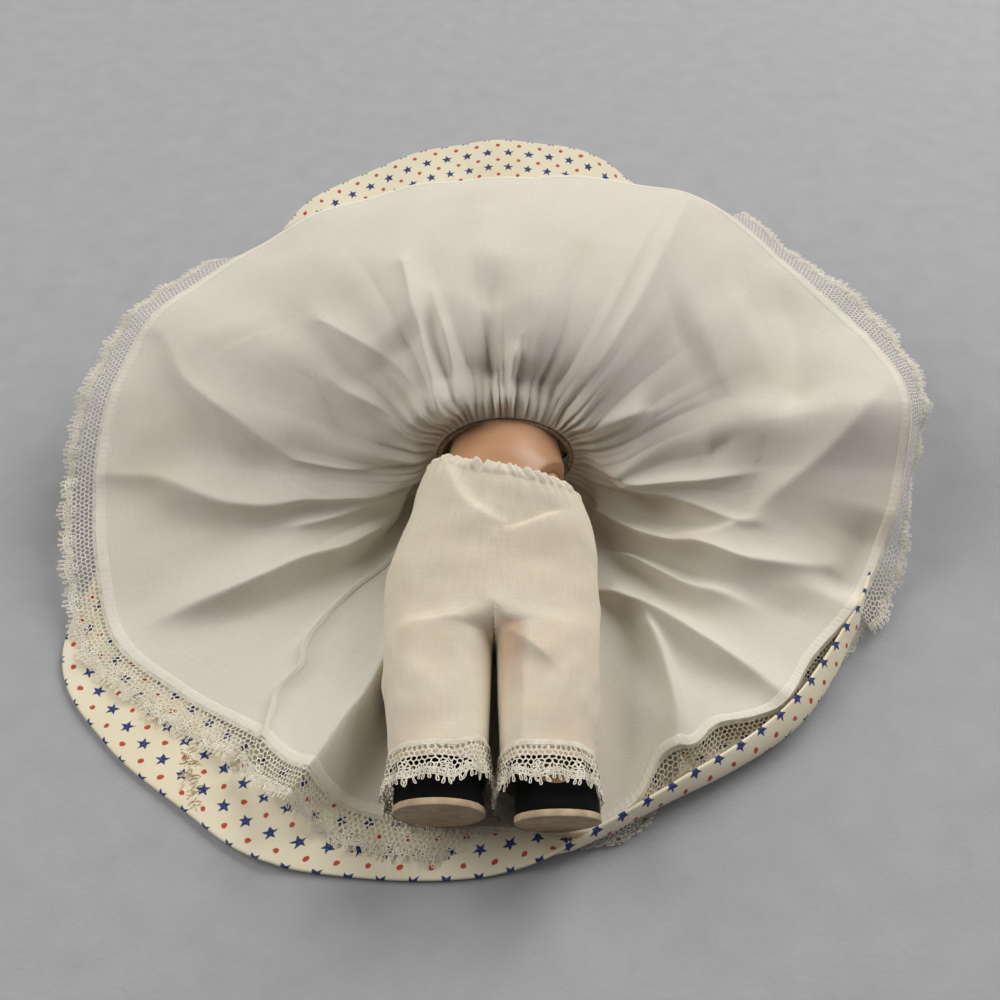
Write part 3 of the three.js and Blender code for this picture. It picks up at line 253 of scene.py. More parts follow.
def base_normal(angle, along):
    turn, step = 3, 0.05
    side = base_point(angle + turn, along) - base_point(angle - turn, along)
    out = base_point(angle, along + step) - base_point(angle, np.maximum(0, along - step))
    return unit(np.cross(out, side))


def flat_plane(angle, along):
    """Place on the sheet laid out flat."""
    radius = RING_RX + SKIRT_LENGTH * along
    return np.stack((radius * np.cos(angle * RAD), radius * np.sin(angle * RAD)), -1)


def smooth_line(points, steps=5):
    """Catmull-Rom run through points."""
    p = np.asarray(points, float)
    p = np.vstack((2 * p[0] - p[1], p, 2 * p[-1] - p[-2]))
    t = np.linspace(0, 1, steps, endpoint=False)[:, None]
    runs = []
    for a, b, c, d in zip(p, p[1:], p[2:], p[3:]):
        runs.append(0.5 * (2 * b + (c - a) * t + (2 * a - 5 * b + 4 * c - d) * t ** 2
                           + (3 * b - a - 3 * c + d) * t ** 3))
    return np.vstack(runs + [p[-2:-1]])


# Taper, as a share of a fold's line, that ends the fold at no height.
FULL_TAPER = 0.3


def fold_end(run, taper):
    """Share of a fold's height near its end: a short taper leaves a blunt nose."""
    low = max(0.0, 1 - taper / FULL_TAPER)
    return low + (1 - low) * smooth(run / FULL_TAPER)


def ridge(places, line, height, wide_left, wide_right, crest, taper_in, taper_out):
    """Height of a fold over places in a plane. Its line runs along the crest."""
    step = np.diff(line, axis=0)
    length = np.linalg.norm(step, axis=1)
    total, done = length.sum(), 0.0
    best = np.full(len(places), 1e9)
    run, lean = np.zeros(len(places)), np.zeros(len(places))
    for a, d, size in zip(line, step, length):
        off = places - a
        share = np.clip(off @ d / size ** 2, 0, 1)
        off = off - share[:, None] * d
        gap = np.linalg.norm(off, axis=1)
        near = gap < best
        best[near] = gap[near]
        run[near] = (done + share[near] * size) / total
        lean[near] = ((d[0] * off[:, 1] - d[1] * off[:, 0]) / (size * gap + 1e-9))[near]
        done += size
    width = wide_right + (wide_left - wide_right) * (0.5 + 0.5 * lean)
    away = np.exp(-(np.sqrt(best ** 2 + crest ** 2) - crest) / width)
    return height * fold_end(run, taper_in) * fold_end(1 - run, taper_out) * away


def skirt_fold(places, fold):
    line = smooth_line(fold[-1])
    return ridge(places, flat_plane(line[:, 0], line[:, 1]), *fold[:-1])


def ripple(angle, waves, spread, seed):
    """Uneven wave round the waist with about that many waves."""
    rng = np.random.default_rng(seed)
    total = np.zeros_like(angle)
    for k in range(7):
        count = int(round(waves + spread * (k - 3) / 3))
        total += rng.uniform(0.5, 1) * np.cos(count * angle * RAD + rng.uniform(0, 2 * math.pi))
    return total / 3


def pleats(angle, count, seed):
    """Round ridges with sharp grooves between, about count of them, uneven in width and height."""
    rng = np.random.default_rng(seed)
    turn = angle * RAD
    phase = 0.5 * count * turn
    size = np.ones_like(angle)
    for k in (3, 5, 8, 13):
        phase = phase + rng.uniform(0.2, 0.5) * np.sin(k * turn + rng.uniform(0, 6.3))
        size = size + 0.28 * np.sin(k * turn + rng.uniform(0, 6.3))
    return size * (np.abs(np.sin(phase)) - 0.64)


def gathers(angle, along):
    """Small pleats at the waist that merge outwards into fewer, longer ones."""
    total = np.zeros_like(angle)
    for seed, (count, peak, size) in enumerate(
            ((84, 0.02, 0.85), (58, 0.05, 1.4), (36, 0.1, 1.3), (22, 0.17, 0.7))):
        share = along / peak
        total += size * pleats(angle, count, 60 + seed) * share * np.exp(1 - share)
    for seed, (waves, spread, peak, size) in enumerate(((21, 6, 0.2, 0.6), (13, 4, 0.3, 0.7))):
        share = along / peak
        total += size * ripple(angle, waves, spread, seed) * share * np.exp(1 - share)
    return total


def soft_noise(places, size, seed):
    """Smooth uneven height over the flat sheet, with humps about size across."""
    rng = np.random.default_rng(seed)
    total = np.zeros(len(places))
    waves = 14
    for _ in range(waves):
        turn, phase = rng.uniform(0, math.pi), rng.uniform(0, 2 * math.pi)
        wave = 2 * math.pi / (size * rng.uniform(0.7, 1.6))
        total += np.cos(wave * (places @ (math.cos(turn), math.sin(turn))) + phase)
    return total / math.sqrt(waves)


def skirt_height(angle, along):
    places = flat_plane(angle, np.minimum(along, 1.02))
    folds = sum(skirt_fold(places, fold) for fold in FOLDS)
    return (gathers(angle, along) + 0.35 * soft_noise(places, 26, 3) * smooth(along / 0.3)
            + folds * smooth(along / 0.09))


def layer_point(angle, along, depth):
    """Point of a cloth layer at a depth below the folded petticoat, kept above the floor."""
    shape = np.shape(angle)
    a, t = np.ravel(angle).astype(float), np.ravel(along).astype(float)
    d = np.broadcast_to(np.asarray(depth, float), shape).ravel()
    normal = base_normal(a, np.minimum(t, 1.0))
    points = base_point(a, t) + normal * (skirt_height(a, t) - d)[:, None]
    floor = np.maximum(LOWEST, FLOOR_LAYERS - d)
    low = points[:, 2] < floor + FLOOR_EASE
    over = points[low, 2] - floor[low]
    points[low, 2] = floor[low] + FLOOR_EASE * np.exp((over - FLOOR_EASE) / FLOOR_EASE)
    return points.reshape(shape + (3,))


# Meshes

# Edges of hard pieces that turn by more than this stay sharp.
SHARP = 50 * RAD


def link(obj):
    bpy.context.scene.collection.objects.link(obj)
    return obj


def add_object(name, points, faces, uv=None):
    """Mesh from points in millimetres. Faces are an array or, where their corners differ, a list."""
    mesh = bpy.data.meshes.new(name)
    mesh.from_pydata(metres(points).tolist(), [], faces if isinstance(faces, list) else faces.tolist())
    if uv is not None:
        layer = mesh.uv_layers.new(name="cloth")
        layer.data.foreach_set("uv", np.asarray(uv, np.float32).ravel())
    mesh.polygons.foreach_set("use_smooth", np.ones(len(mesh.polygons), bool))
    mesh.update()
    return link(bpy.data.objects.new(name, mesh))


def grid(columns, rows, closed):
    """Faces of a grid of points stored column by column, and the (column, row) of each corner."""
    i, j = lattice(np.arange(columns if closed else columns - 1), np.arange(rows - 1))
    i, j = i.ravel(), j.ravel()
    column = np.stack((i, i + 1, i + 1, i), -1)
    row = np.stack((j, j, j + 1, j + 1), -1)
    return (column % columns) * rows + row, column, row


def add_grid(name, points, uv, closed=False, flip=False):
    """Sheet from an array (columns, rows, 3). uv has one column more where it is closed."""
    columns, rows = points.shape[:2]
    faces, column, row = grid(columns, rows, closed)
    corner_uv = uv[column, row]
    if flip:
        faces, corner_uv = faces[:, ::-1], corner_uv[:, ::-1]
    return add_object(name, points.reshape(-1, 3), faces, corner_uv)


def tubes(lines, radius, sides=4):
    """Points and faces of thin threads along an array of polylines (count, points, 3)."""
    lines = np.asarray(lines, float)
    count, steps = lines.shape[:2]
    along = unit(np.gradient(lines, axis=1))
    up = np.where(np.abs(along[..., 2:3]) > 0.9, (1.0, 0, 0), (0, 0, 1.0))
    side = unit(np.cross(along, up))
    other = np.cross(along, side)
    turn = 2 * math.pi * np.arange(sides) / sides
    ring = side[:, :, None] * np.cos(turn)[:, None] + other[:, :, None] * np.sin(turn)[:, None]
    points = lines[:, :, None] + np.broadcast_to(radius, (count, steps))[..., None, None] * ring
    index = np.arange(count * steps * sides).reshape(count, steps, sides)
    a, b = index[:, :-1], index[:, 1:]
    faces = np.stack((a, np.roll(a, -1, 2), np.roll(b, -1, 2), b), -1).reshape(-1, 4)
    return points.reshape(-1, 3), faces


class Nodes:
    """A material's node tree, with short ways to add and join nodes."""

    def __init__(self, name, **values):
        self.material = bpy.data.materials.new(name)
        self.material.use_nodes = True
        self.tree = self.material.node_tree
        self.shader = self.tree.nodes["Principled BSDF"]
        for key, value in values.items():
            self.shader.inputs[key.replace("_", " ")].default_value = value

    def add(self, kind, **links):
        node = self.tree.nodes.new(kind)
        for key, value in links.items():
            self.set(node, key.replace("_", " "), value)
        return node

    def set(self, node, key, value):
        socket = node.inputs[int(key)] if str(key).isdigit() else node.inputs[key]
        if isinstance(value, bpy.types.NodeSocket):
            self.tree.links.new(value, socket)
        else:
            socket.default_value = value

    def math(self, operation, a, b=0.0, c=0.0, clamp=False):
        node = self.tree.nodes.new("ShaderNodeMath")
        node.operation = operation
        node.use_clamp = clamp
        for k, value in enumerate((a, b, c)):
            self.set(node, k, value)
        return node.outputs[0]

    def times(self, a, b):
        return self.math("MULTIPLY", a, b)

    def plus(self, a, b):
        return self.math("ADD", a, b)

    def minus(self, a, b):
        return self.math("SUBTRACT", a, b)

    def length(self, x, y):
        return self.math("SQRT", self.plus(self.times(x, x), self.times(y, y)))

    def mix(self, factor, a, b):
        node = self.tree.nodes.new("ShaderNodeMix")
        node.data_type = "RGBA"
        for k, value in ((0, factor), (6, a), (7, b)):
            self.set(node, k, value)
        return node.outputs[2]

    def ramp(self, value, low, high):
        """0 at low, 1 at high."""
        node = self.tree.nodes.new("ShaderNodeMapRange")
        node.interpolation_type = "SMOOTHSTEP"
        for k, v in ((0, value), (1, low), (2, high)):
            self.set(node, k, v)
        return node.outputs[0]

    def place(self):
        return self.tree.nodes.new("ShaderNodeTexCoord").outputs["Object"]

    def cloth(self):
        node = self.tree.nodes.new("ShaderNodeUVMap")
        node.uv_map = "cloth"
        return node.outputs[0]

    def split(self, vector):
        return self.add("ShaderNodeSeparateXYZ", Vector=vector).outputs

    def join(self, x, y, z=0.0):
        return self.add("ShaderNodeCombineXYZ", X=x, Y=y, Z=z).outputs[0]

    def noise(self, vector, scale, detail=3.0, roughness=0.55):
        node = self.add("ShaderNodeTexNoise", Vector=vector, Scale=scale, Detail=detail,
                        Roughness=roughness)
        return node.outputs["Fac"]

    def scaled(self, vector, x, y, z=1.0):
        node = self.add("ShaderNodeMapping", Vector=vector)
        node.inputs["Scale"].default_value = (x, y, z)
        return node.outputs[0]

    def bump(self, height, strength, distance):
        node = self.add("ShaderNodeBump", Height=height, Strength=strength, Distance=distance)
        self.set(self.shader, "Normal", node.outputs[0])

    def colour(self, socket):
        self.set(self.shader, "Base Color", socket)


def rgb(r, g, b):
    """Linear colour from picture values of 0 to 255."""
    def linear(v):
        v /= 255
        return v / 12.92 if v <= 0.04045 else ((v + 0.055) / 1.055) ** 2.4
    return (linear(r), linear(g), linear(b), 1.0)


def weave(n, pitch):
    """Plain weave on the cloth's own threads: its height, from 0 to 1. The map is in millimetres."""
    x, y, _ = n.split(n.cloth())
    turn = 2 * math.pi / pitch
    warp = n.math("SINE", n.times(x, turn))
    weft = n.math("SINE", n.times(y, turn))
    both = n.times(warp, weft)
    return n.math("MULTIPLY_ADD", both, 0.5, 0.5)


def cloth_material(name, light, shade, stain, pitch, slub):
    """Fine cotton: threads, thicker threads here and there, and a little old staining."""
    n = Nodes(name, Roughness=0.9, Sheen_Weight=0.12, Sheen_Roughness=0.5, Specular_IOR_Level=0.25)
    threads = weave(n, pitch)
    cloth = n.cloth()
    warp_slub = n.noise(n.scaled(cloth, 4.2, 0.11), 1.0, 4.0, 0.7)
    weft_slub = n.noise(n.scaled(cloth, 0.11, 4.2), 1.0, 4.0, 0.7)
    slubs = n.plus(warp_slub, weft_slub)
    body = n.mix(n.ramp(slubs, 0.6, 1.35), shade, light)
    body = n.mix(n.times(threads, slub), body, shade)
    old = n.ramp(n.noise(n.place(), 26.0, 3.0), 0.5, 0.78)
    body = n.mix(n.times(old, 0.5), body, stain)
    n.colour(body)
    height = n.plus(threads, n.times(slubs, 0.6))
    n.bump(height, 0.35, 0.0002)
    return n


LAWN = cloth_material(
    "lawn", rgb(231, 226, 214), rgb(217, 210, 196), rgb(214, 200, 178), 0.38, 0.2).material
HEM_TAPE = cloth_material(
    "hem_tape", rgb(240, 236, 224), rgb(226, 219, 203), rgb(222, 208, 184), 0.42, 0.2).material


def organdy_material():
    """Sheer cotton: pinker where a leg shows through, and darker towards skin tone, with painted shade, on
    the inner side of the left half.
    """
    n = cloth_material("organdy", rgb(236, 228, 210), rgb(216, 203, 180), rgb(222, 200, 176), 0.5, 0.4)
    body = n.shader.inputs["Base Color"].links[0].from_socket
    u, v, _ = n.split(n.cloth())

    def strip(middle, outer, inner):
        return n.ramp(n.math("ABSOLUTE", n.minus(u, middle)), outer, inner)

    leg = n.times(strip(16.0, 13.0, 3.0), n.ramp(v, -34.0, -52.0))
    # Bare skin and painted shade: the inner side of the left half along the shin is darkened towards the
    # skin's colour, for skin seen through the cloth and the shade of the recess there.
    bare_skin_and_shade = n.times(strip(32.0, 7.0, 3.0), n.ramp(v, -68.0, -72.0))
    bare_skin_and_shade = n.times(bare_skin_and_shade, n.ramp(v, -96.0, -74.0))
    bare_skin_and_shade = n.times(bare_skin_and_shade, n.ramp(n.split(n.place())[0], 0.0002, 0.0008))
    patch = n.ramp(n.noise(n.scaled(n.cloth(), 0.1, 0.07), 1.0, 3.0), 0.34, 0.66)
    body = n.mix(n.times(n.times(leg, patch), 0.35), body, rgb(226, 194, 170))
    body = n.mix(n.times(bare_skin_and_shade, 0.55), body, rgb(190, 142, 110))
    n.colour(body)
    return n.material


ORGANDY = organdy_material()
CASING = cloth_material(
    "casing", rgb(238, 231, 214), rgb(220, 209, 188), rgb(222, 206, 182), 0.5, 0.3).material


def lace_material():
    n = Nodes("lace_thread", Roughness=0.8, Sheen_Weight=0.2, Specular_IOR_Level=0.3)
    spots = n.noise(n.place(), 420.0, 3.0)
    n.colour(n.mix(n.ramp(spots, 0.3, 0.7), rgb(222, 214, 194), rgb(240, 234, 218)))
    n.bump(n.noise(n.place(), 5200.0, 2.0), 0.3, 0.0001)
    return n.material


LACE = lace_material()


def star(n, x, y, size):
    """1 inside a five-pointed star of that outer radius round (0, 0)."""
    angle = n.math("ARCTAN2", x, y)
    fifth = 2 * math.pi / 5
    turn = n.math("MODULO", n.plus(angle, 10 * fifth + fifth / 2), fifth)
    turn = n.math("ABSOLUTE", n.minus(turn, fifth / 2))
    radius = n.length(x, y)
    px = n.times(radius, n.math("SINE", turn))
    py = n.times(radius, n.math("COSINE", turn))
    inner = 0.44 * size
    tip = np.array((0.0, size))
    notch = np.array((inner * math.sin(fifth / 2), inner * math.cos(fifth / 2)))
    edge = notch - tip
    out = np.array((-edge[1], edge[0])) / np.linalg.norm(edge)
    if out @ tip < 0:
        out = -out
    gap = n.plus(n.times(px, out[0]), n.times(py, out[1]))
    return n.ramp(gap, float(out @ tip) + 0.07, float(out @ tip) - 0.07)


def print_material(name, ground, blue, red):
    """Cotton with stars on a square lattice and dots at the middle of each cell."""
    n = Nodes(name, Roughness=0.88, Sheen_Weight=0.1, Specular_IOR_Level=0.25)
    pitch = 7.3
    x, y, _ = n.split(n.cloth())
    wobble = n.math("MULTIPLY_ADD", n.noise(n.scaled(n.cloth(), 0.5, 0.5), 1.0, 2.0), 0.9, -0.45)
    x, y = n.plus(x, wobble), n.minus(y, wobble)

    def cell(value, shift):
        share = n.math("FRACT", n.plus(n.math("DIVIDE", value, pitch), 100.0 + shift))
        return n.math("MULTIPLY_ADD", share, pitch, -pitch / 2)

    stars = star(n, cell(x, 0.5), cell(y, 0.5), 1.95)
    dx, dy = cell(x, 0.0), cell(y, 0.0)
    radius = n.length(dx, dy)
    dots = n.ramp(radius, 0.8, 0.64)
    threads = weave(n, 0.45)
    old = n.ramp(n.noise(n.place(), 30.0, 3.0), 0.45, 0.8)
    body = n.mix(n.times(old, 0.6), ground, rgb(232, 216, 180))
    body = n.mix(n.times(threads, 0.12), body, rgb(205, 186, 148))
    worn = n.math("MULTIPLY_ADD", n.noise(n.scaled(n.cloth(), 2.0, 2.0), 1.0, 3.0), 0.5, 0.72, clamp=True)
    body = n.mix(n.times(stars, worn), body, blue)
    body = n.mix(n.times(dots, worn), body, red)
    n.colour(body)
    n.bump(threads, 0.3, 0.0002)
    return n.material


PRINT = print_material("print_face", rgb(243, 234, 208), rgb(28, 50, 116), rgb(196, 66, 44))


def plastic(name, dark, light):
    """Hard plastic with faint patches: its nodes and its colour."""
    n = Nodes(name, Roughness=0.38, Specular_IOR_Level=0.45, Coat_Weight=0.08, Coat_Roughness=0.3)
    skin = n.mix(n.ramp(n.noise(n.place(), 45.0, 3.0), 0.3, 0.7), dark, light)
    n.colour(skin)
    n.bump(n.noise(n.place(), 900.0, 2.0), 0.08, 0.0003)
    return n, skin


PLASTIC = plastic("doll_plastic", rgb(190, 142, 106), rgb(202, 158, 122))[0].material


def plain_material(name, light, dark, scale, roughness, metallic=0.0, stretch=(1, 1, 1), bump=0.2,
                   **values):
    """Material with an even grain between two colours."""
    n = Nodes(name, Roughness=roughness, Metallic=metallic, **values)
    grain = n.noise(n.scaled(n.place(), *stretch), scale, 4.0)
    n.colour(n.mix(n.ramp(grain, 0.3, 0.7), dark, light))
    n.bump(grain, bump, 0.0003)
    return n.material


VELVET = plain_material("velvet", rgb(11, 11, 12), rgb(3, 3, 4), 1500.0, 0.95, Sheen_Weight=0.03,
                        Sheen_Roughness=0.4, Specular_IOR_Level=0.15)
CARD = plain_material("sole_card", rgb(196, 174, 144), rgb(166, 144, 116), 260.0, 0.85)
STEEL = plain_material("wire_steel", rgb(170, 170, 170), rgb(120, 120, 118), 600.0, 0.35, 1.0)
WEIGHT = plain_material("cast_weight", rgb(120, 122, 126), rgb(84, 86, 90), 700.0, 0.6, 0.9)
THREAD = plain_material("loose_thread", rgb(238, 226, 198), rgb(188, 158, 116), 500.0, 0.9)
ELASTIC = plain_material("elastic_cord", rgb(224, 218, 204), rgb(190, 182, 166), 900.0, 0.85)
HAIR = plain_material("hair", rgb(112, 74, 44), rgb(58, 34, 18), 300.0, 0.5, stretch=(1, 0.08, 1), bump=0.5)


def eye_material():
    """Glassy eyeball with a painted iris that comes to the front as the eye opens."""
    n = Nodes("eye", Roughness=0.12, Coat_Weight=0.6, Coat_Roughness=0.05)
    _, y, z = n.split(n.place())
    eye_y, eye_z = 64, 44.25
    # Way from the eye's middle to the iris at rest: towards the feet and up.
    feet, up = 0.819, 0.574
    ahead = n.math("MULTIPLY_ADD", y, -feet, feet * (eye_y + SHIFT[1]) / 1000)
    ahead = n.plus(ahead, n.math("MULTIPLY_ADD", z, up, -up * eye_z / 1000))
    grain = n.noise(n.place(), 900.0, 3.0)
    ball = n.mix(grain, rgb(236, 234, 228), rgb(248, 246, 242))
    iris = n.mix(n.ramp(grain, 0.35, 0.65), rgb(54, 92, 128), rgb(104, 144, 172))
    ball = n.mix(n.ramp(ahead, 0.00316, 0.00322), ball, iris)
    n.colour(n.mix(n.ramp(ahead, 0.00352, 0.00358), ball, rgb(10, 10, 12)))
    return n.material


EYE = eye_material()


def face_material():
    """Doll plastic with a plain painted face: brows, cheeks and a small mouth."""
    n, skin = plastic("painted_face", rgb(204, 160, 126), rgb(212, 172, 138))
    x, y, z = n.split(n.place())
    side = n.math("ABSOLUTE", n.minus(x, SHIFT[0] / 1000))
    front = n.ramp(z, 0.040, 0.042)

    def spot(place_x, place_y, wide, high, soft):
        u = n.math("DIVIDE", n.minus(side, place_x / 1000), wide / 1000)
        v = n.math("DIVIDE", n.minus(y, (place_y + SHIFT[1]) / 1000), high / 1000)
        away = n.length(u, v)
        return n.times(n.ramp(away, 1.0 + soft, 1.0 - soft), front)

    skin = n.mix(n.times(spot(10.5, 55.5, 5.0, 4.4, 0.8), 0.5), skin, rgb(214, 128, 108))
    bow = n.math("ADD", spot(1.3, 51.2, 1.7, 0.75, 0.2), spot(0.0, 50.2, 2.1, 0.75, 0.2), clamp=True)
    skin = n.mix(bow, skin, rgb(176, 66, 62))
    skin = n.mix(n.times(spot(8.4, 71.2, 4.0, 0.45, 0.3), 0.85), skin, rgb(104, 70, 46))
    n.colour(skin)
    return n.material


FACE = face_material()
SEAM = plain_material("waist_seam", rgb(190, 164, 130), rgb(132, 104, 76), 1400.0, 0.9)

CAD_LOOKS = {
    "skin": PLASTIC, "hair": HAIR, "eye": EYE, "steel": STEEL, "weight": WEIGHT, "elastic": ELASTIC,
    "velvet": VELVET, "card": CARD, "print": PRINT, "organdy": ORGANDY, "lace": LACE, "lawn": LAWN,
    "cord": SEAM}
for part in frame["record"]["subparts"]:
    node = NODES[part["node"]]
    node.data.materials.clear()
    node.data.materials.append(FACE if part["node"] == "face" else CAD_LOOKS[part["material_slot"]])
    node.data.polygons.foreach_set("use_smooth", np.ones(len(node.data.polygons), bool))
    node.data.set_sharp_from_angle(angle=40 * RAD)


def finish_piece(obj, material, body, replaces=()):
    if not obj.data.materials:
        obj.data.materials.append(material)
    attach(obj, body)
    if replaces:
        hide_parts(*replaces)
    return obj


def thicken(obj, size):
    thick = obj.modifiers.new("thickness", "SOLIDIFY")
    thick.thickness = size / 1000
    thick.offset = 0


# Petticoat

def skirt_grid(columns, shares, depth):
    angle = full_turn(columns, 360)
    a, t = lattice(angle, shares)
    return layer_point(a, t, depth)


def skirt_uv(columns, shares):
    u = np.linspace(0, 2 * math.pi * REACH, columns + 1)
    v = SKIRT_LENGTH * np.asarray(shares)
    return uv_map(u, v)


def make_hem():
    shares = 1 + np.array((-1, -0.97, -0.9, -0.5, -0.1, -0.03, 0.0, 0.0)) * HEM_WIDTH / REACH
    lift = np.array((-0.4, 0.0, 0.14, 0.2, 0.2, 0.16, 0.05, -0.2))
    columns = 2400
    angle = full_turn(columns, 360)
    stitches = 460
    stitch = stitches * angle * RAD + 3 * np.sin(angle * 0.3)
    pucker = 0.035 * np.sin(stitch)[:, None] * np.array((0, 0.3, 1, 1, 0.5, 0.2, 0, 0))
    a, t = lattice(angle, shares)
    points = layer_point(a, t, -lift - pucker)
    hem = add_grid("petticoat_hem", points, skirt_uv(columns, shares), closed=True)
    return finish_piece(hem, HEM_TAPE, "torso")


def make_seam():
    """The seam allowance, folded flat towards the legs with a puckered edge."""
    line = smooth_line(SEAM_LINE, 16)
    run = run_length(flat_plane(line[:, 0], line[:, 1]))
    across = np.array((-0.5, -0.45, -0.2, 0.1, 0.45, 0.9, 1.45, 1.5))
    lift = np.array((-0.4, 0.2, 0.55, 0.6, 0.3, 0.28, 0.24, -0.3))
    radius = RING_RX + SKIRT_LENGTH * line[:, 1]
    wave = np.sin(run / 2.1 + 2.1 * np.sin(run / 5.3)) + 0.8 * np.sin(run / 4.7 + 1.7 * np.sin(run / 9.0))
    wide = across[None, :] * (1 + 0.12 * wave[:, None] * (across > 1)) + 0.1 * wave[:, None]
    a = line[:, :1] + wide / radius[:, None] / RAD
    t = np.repeat(line[:, 1:], len(across), 1)
    depth = -lift[None, :] - 0.06 * wave[:, None]
    uv = uv_map(run, across)
    seam = add_grid("petticoat_seam", layer_point(a % 360, t, depth), uv)
    return finish_piece(seam, HEM_TAPE, "torso")


def make_petticoat():
    columns = 780
    shares = np.linspace(0, 1, 120) ** 1.2
    skirt = add_grid("petticoat", skirt_grid(columns, shares, 0.0), skirt_uv(columns, shares), closed=True)
    finish_piece(skirt, LAWN, "torso", ["petticoat_skirt"])
    trim = [make_hem(), make_seam()]


def make_cord():
    angle = full_turn(400)
    inset, r = 1.1, 0.72
    rx, rz = RING_RX - inset, RING_RZ - inset
    turn = full_turn(12)
    a, b = lattice(angle, turn)
    bulge = r * (1 + 0.12 * np.cos(2 * b + 90 * a))
    x = np.cos(a) * (rx + bulge * np.cos(b))
    z = RING_Z + np.sin(a) * (rz + bulge * np.cos(b))
    y = RING_Y + bulge * np.sin(b)
    points = np.stack((x, y, z), -1)
    points = np.concatenate((points, points[:, :1]), 1)
    uv = uv_map(np.linspace(0, 120, 401), np.linspace(0, 5, 13))
    cord = add_grid("waist_seam", points, uv, closed=True)
    finish_piece(cord, SEAM, "torso", ["petticoat_waist_cord"])


# Lace

def hem_run(count=2400):
    """Angles along the hem against length."""
    angle = np.linspace(0, 360, count + 1)
    points = layer_point(angle % 360, np.ones_like(angle), 0.0)
    return angle, run_length(points)


def add_ribbons(name, groups, place):
    """One object of flat threads: groups of (polylines in the flat plane, width, lift)."""
    rng = np.random.default_rng(len(groups))
    points, faces, start = [], [], 0
    for lines, width, lift in groups:
        along = unit(np.gradient(lines, axis=1))
        side = 0.5 * width * np.stack((-along[..., 1], along[..., 0]), -1)
        pair = np.stack((lines - side, lines + side), 2)
        count, steps = lines.shape[:2]
        height = lift + rng.uniform(-0.03, 0.03, count)[:, None, None]
        points.append(place(pair, np.broadcast_to(height, pair.shape[:3])).reshape(-1, 3))
        index = start + np.arange(count * steps * 2).reshape(count, steps, 2)
        a, b = index[:, :-1], index[:, 1:]
        faces.append(np.stack((a[..., 0], b[..., 0], b[..., 1], a[..., 1]), -1).reshape(-1, 4))
        start += count * steps * 2
    return add_object(name, np.vstack(points), np.vstack(faces))


def lace_net(length, width, seed):
    """Hexagonal net of a lace edging in its flat plane (along, across), as short threads."""
    rng = np.random.default_rng(seed)
    cells = int(round(length / LACE_PITCH))
    pitch = length / cells
    radius = pitch / math.sqrt(3)
    net = []
    for k in range(int(width / (1.5 * radius))):
        cx = (np.arange(cells) + 0.5 * (k % 2)) * pitch
        cy = np.full(cells, 0.2 + 1.5 * radius * (k + 0.5))
        corner = [np.stack((cx + radius * math.cos(w * RAD), cy + radius * math.sin(w * RAD)), -1)
                  for w in (210, 150, 90, 30)]
        net += [np.stack((corner[m], corner[m + 1]), 1) for m in range(3)]
    net = np.concatenate(net)
    sway = 0.14 * np.sin(net[..., ::-1] * 2.3 + 1.7 * np.sin(net * 0.37))
    return net + sway + rng.normal(0, 0.03, net.shape)


def lace_edge(along, span, width):
    """How far out the clothwork of the lace reaches."""
    return width - 2.0 - 1.1 * (0.5 + 0.5 * np.cos(2 * math.pi * along / span))


def lace_work(length, width, seed):
    """Clothwork, small flowers and picot loops of a lace edging: groups of (polylines, width, lift)."""
    rng = np.random.default_rng(seed)
    scallop, thread_gap, picot_gap = 9.0, 0.5, 1.3
    scallops = int(round(length / scallop))
    span = length / scallops
    steps = np.linspace(0, 1, 14)
    loop = np.linspace(0, 1, 8)
    bands, flowers = [], []
    for k in range(scallops):
        x = (k + steps) * span
        for m in range(4):
            y = lace_edge(x, span, width) - 0.52 * m + 0.14 * np.sin(9 * steps + 2 * m)
            bands.append(np.stack((x, y + rng.normal(0, 0.05, len(x))), -1))
        mid = np.array(((k + 0.5) * span, lace_edge((k + 0.5) * span, span, width) - 2.6))
        for petal in range(6):
            turn = (petal + 0.5) * math.pi / 3
            way = np.array((math.cos(turn), math.sin(turn)))
            over = np.array((-math.sin(turn), math.cos(turn)))
            out, wide = 1.5 * np.sin(math.pi * loop), 0.5 * np.sin(2 * math.pi * loop)
            flowers.append(mid + out[:, None] * way + wide[:, None] * over)
    run = np.linspace(0, length, 4 * scallops + 1)
    heading = [np.stack((run, 0.15 + 0.36 * m + 0.07 * np.sin(run * 1.7 + m)), -1) for m in range(4)]
    across = []
    for k in range(int(length / thread_gap)):
        x = thread_gap * (k + rng.uniform(0, 1))
        top = lace_edge(x, span, width)
        lean, deep = rng.uniform(-0.9, 0.9), rng.uniform(1.2, 2.6)
        across.append(np.array(((x, top), (x + lean * 0.6, top - 0.5 * deep), (x + lean, top - deep))))
    picots = []
    for k in range(int(round(length / picot_gap))):
        x = picot_gap * (k + rng.uniform(0.3, 0.7))
        reach, lean = rng.uniform(1.4, 2.3), rng.normal(0, 0.4)
        px = x + 0.34 * np.sin(2 * math.pi * loop) * (0.5 + 1.6 * loop * (1 - loop))
        px = px + lean * np.sin(math.pi * loop) ** 2
        picots.append(np.stack((px, lace_edge(x, span, width) - 0.2 + reach * np.sin(math.pi * loop)), -1))
    return ((np.array(bands), 0.3, 0.1), (np.array(across), 0.24, 0.18), (np.array(picots), 0.24, 0.05),
            (np.array(flowers), 0.3, 0.25), (np.array(heading), 0.26, 0.14))


def add_lace(name, length, width, seed, place, body, replaces):
    """Lace edging as an open net with its clothwork, laid by place(flat points, lift)."""
    deep = width - 2.6
    net = add_ribbons(f"{name}_net", [(lace_net(length, deep, seed), LACE_THREAD, 0.0)], place)
    finish_piece(net, LACE, body, [replaces])
    work = add_ribbons(f"{name}_clothwork", lace_work(length, width, seed), place)
    finish_piece(work, LACE, body)


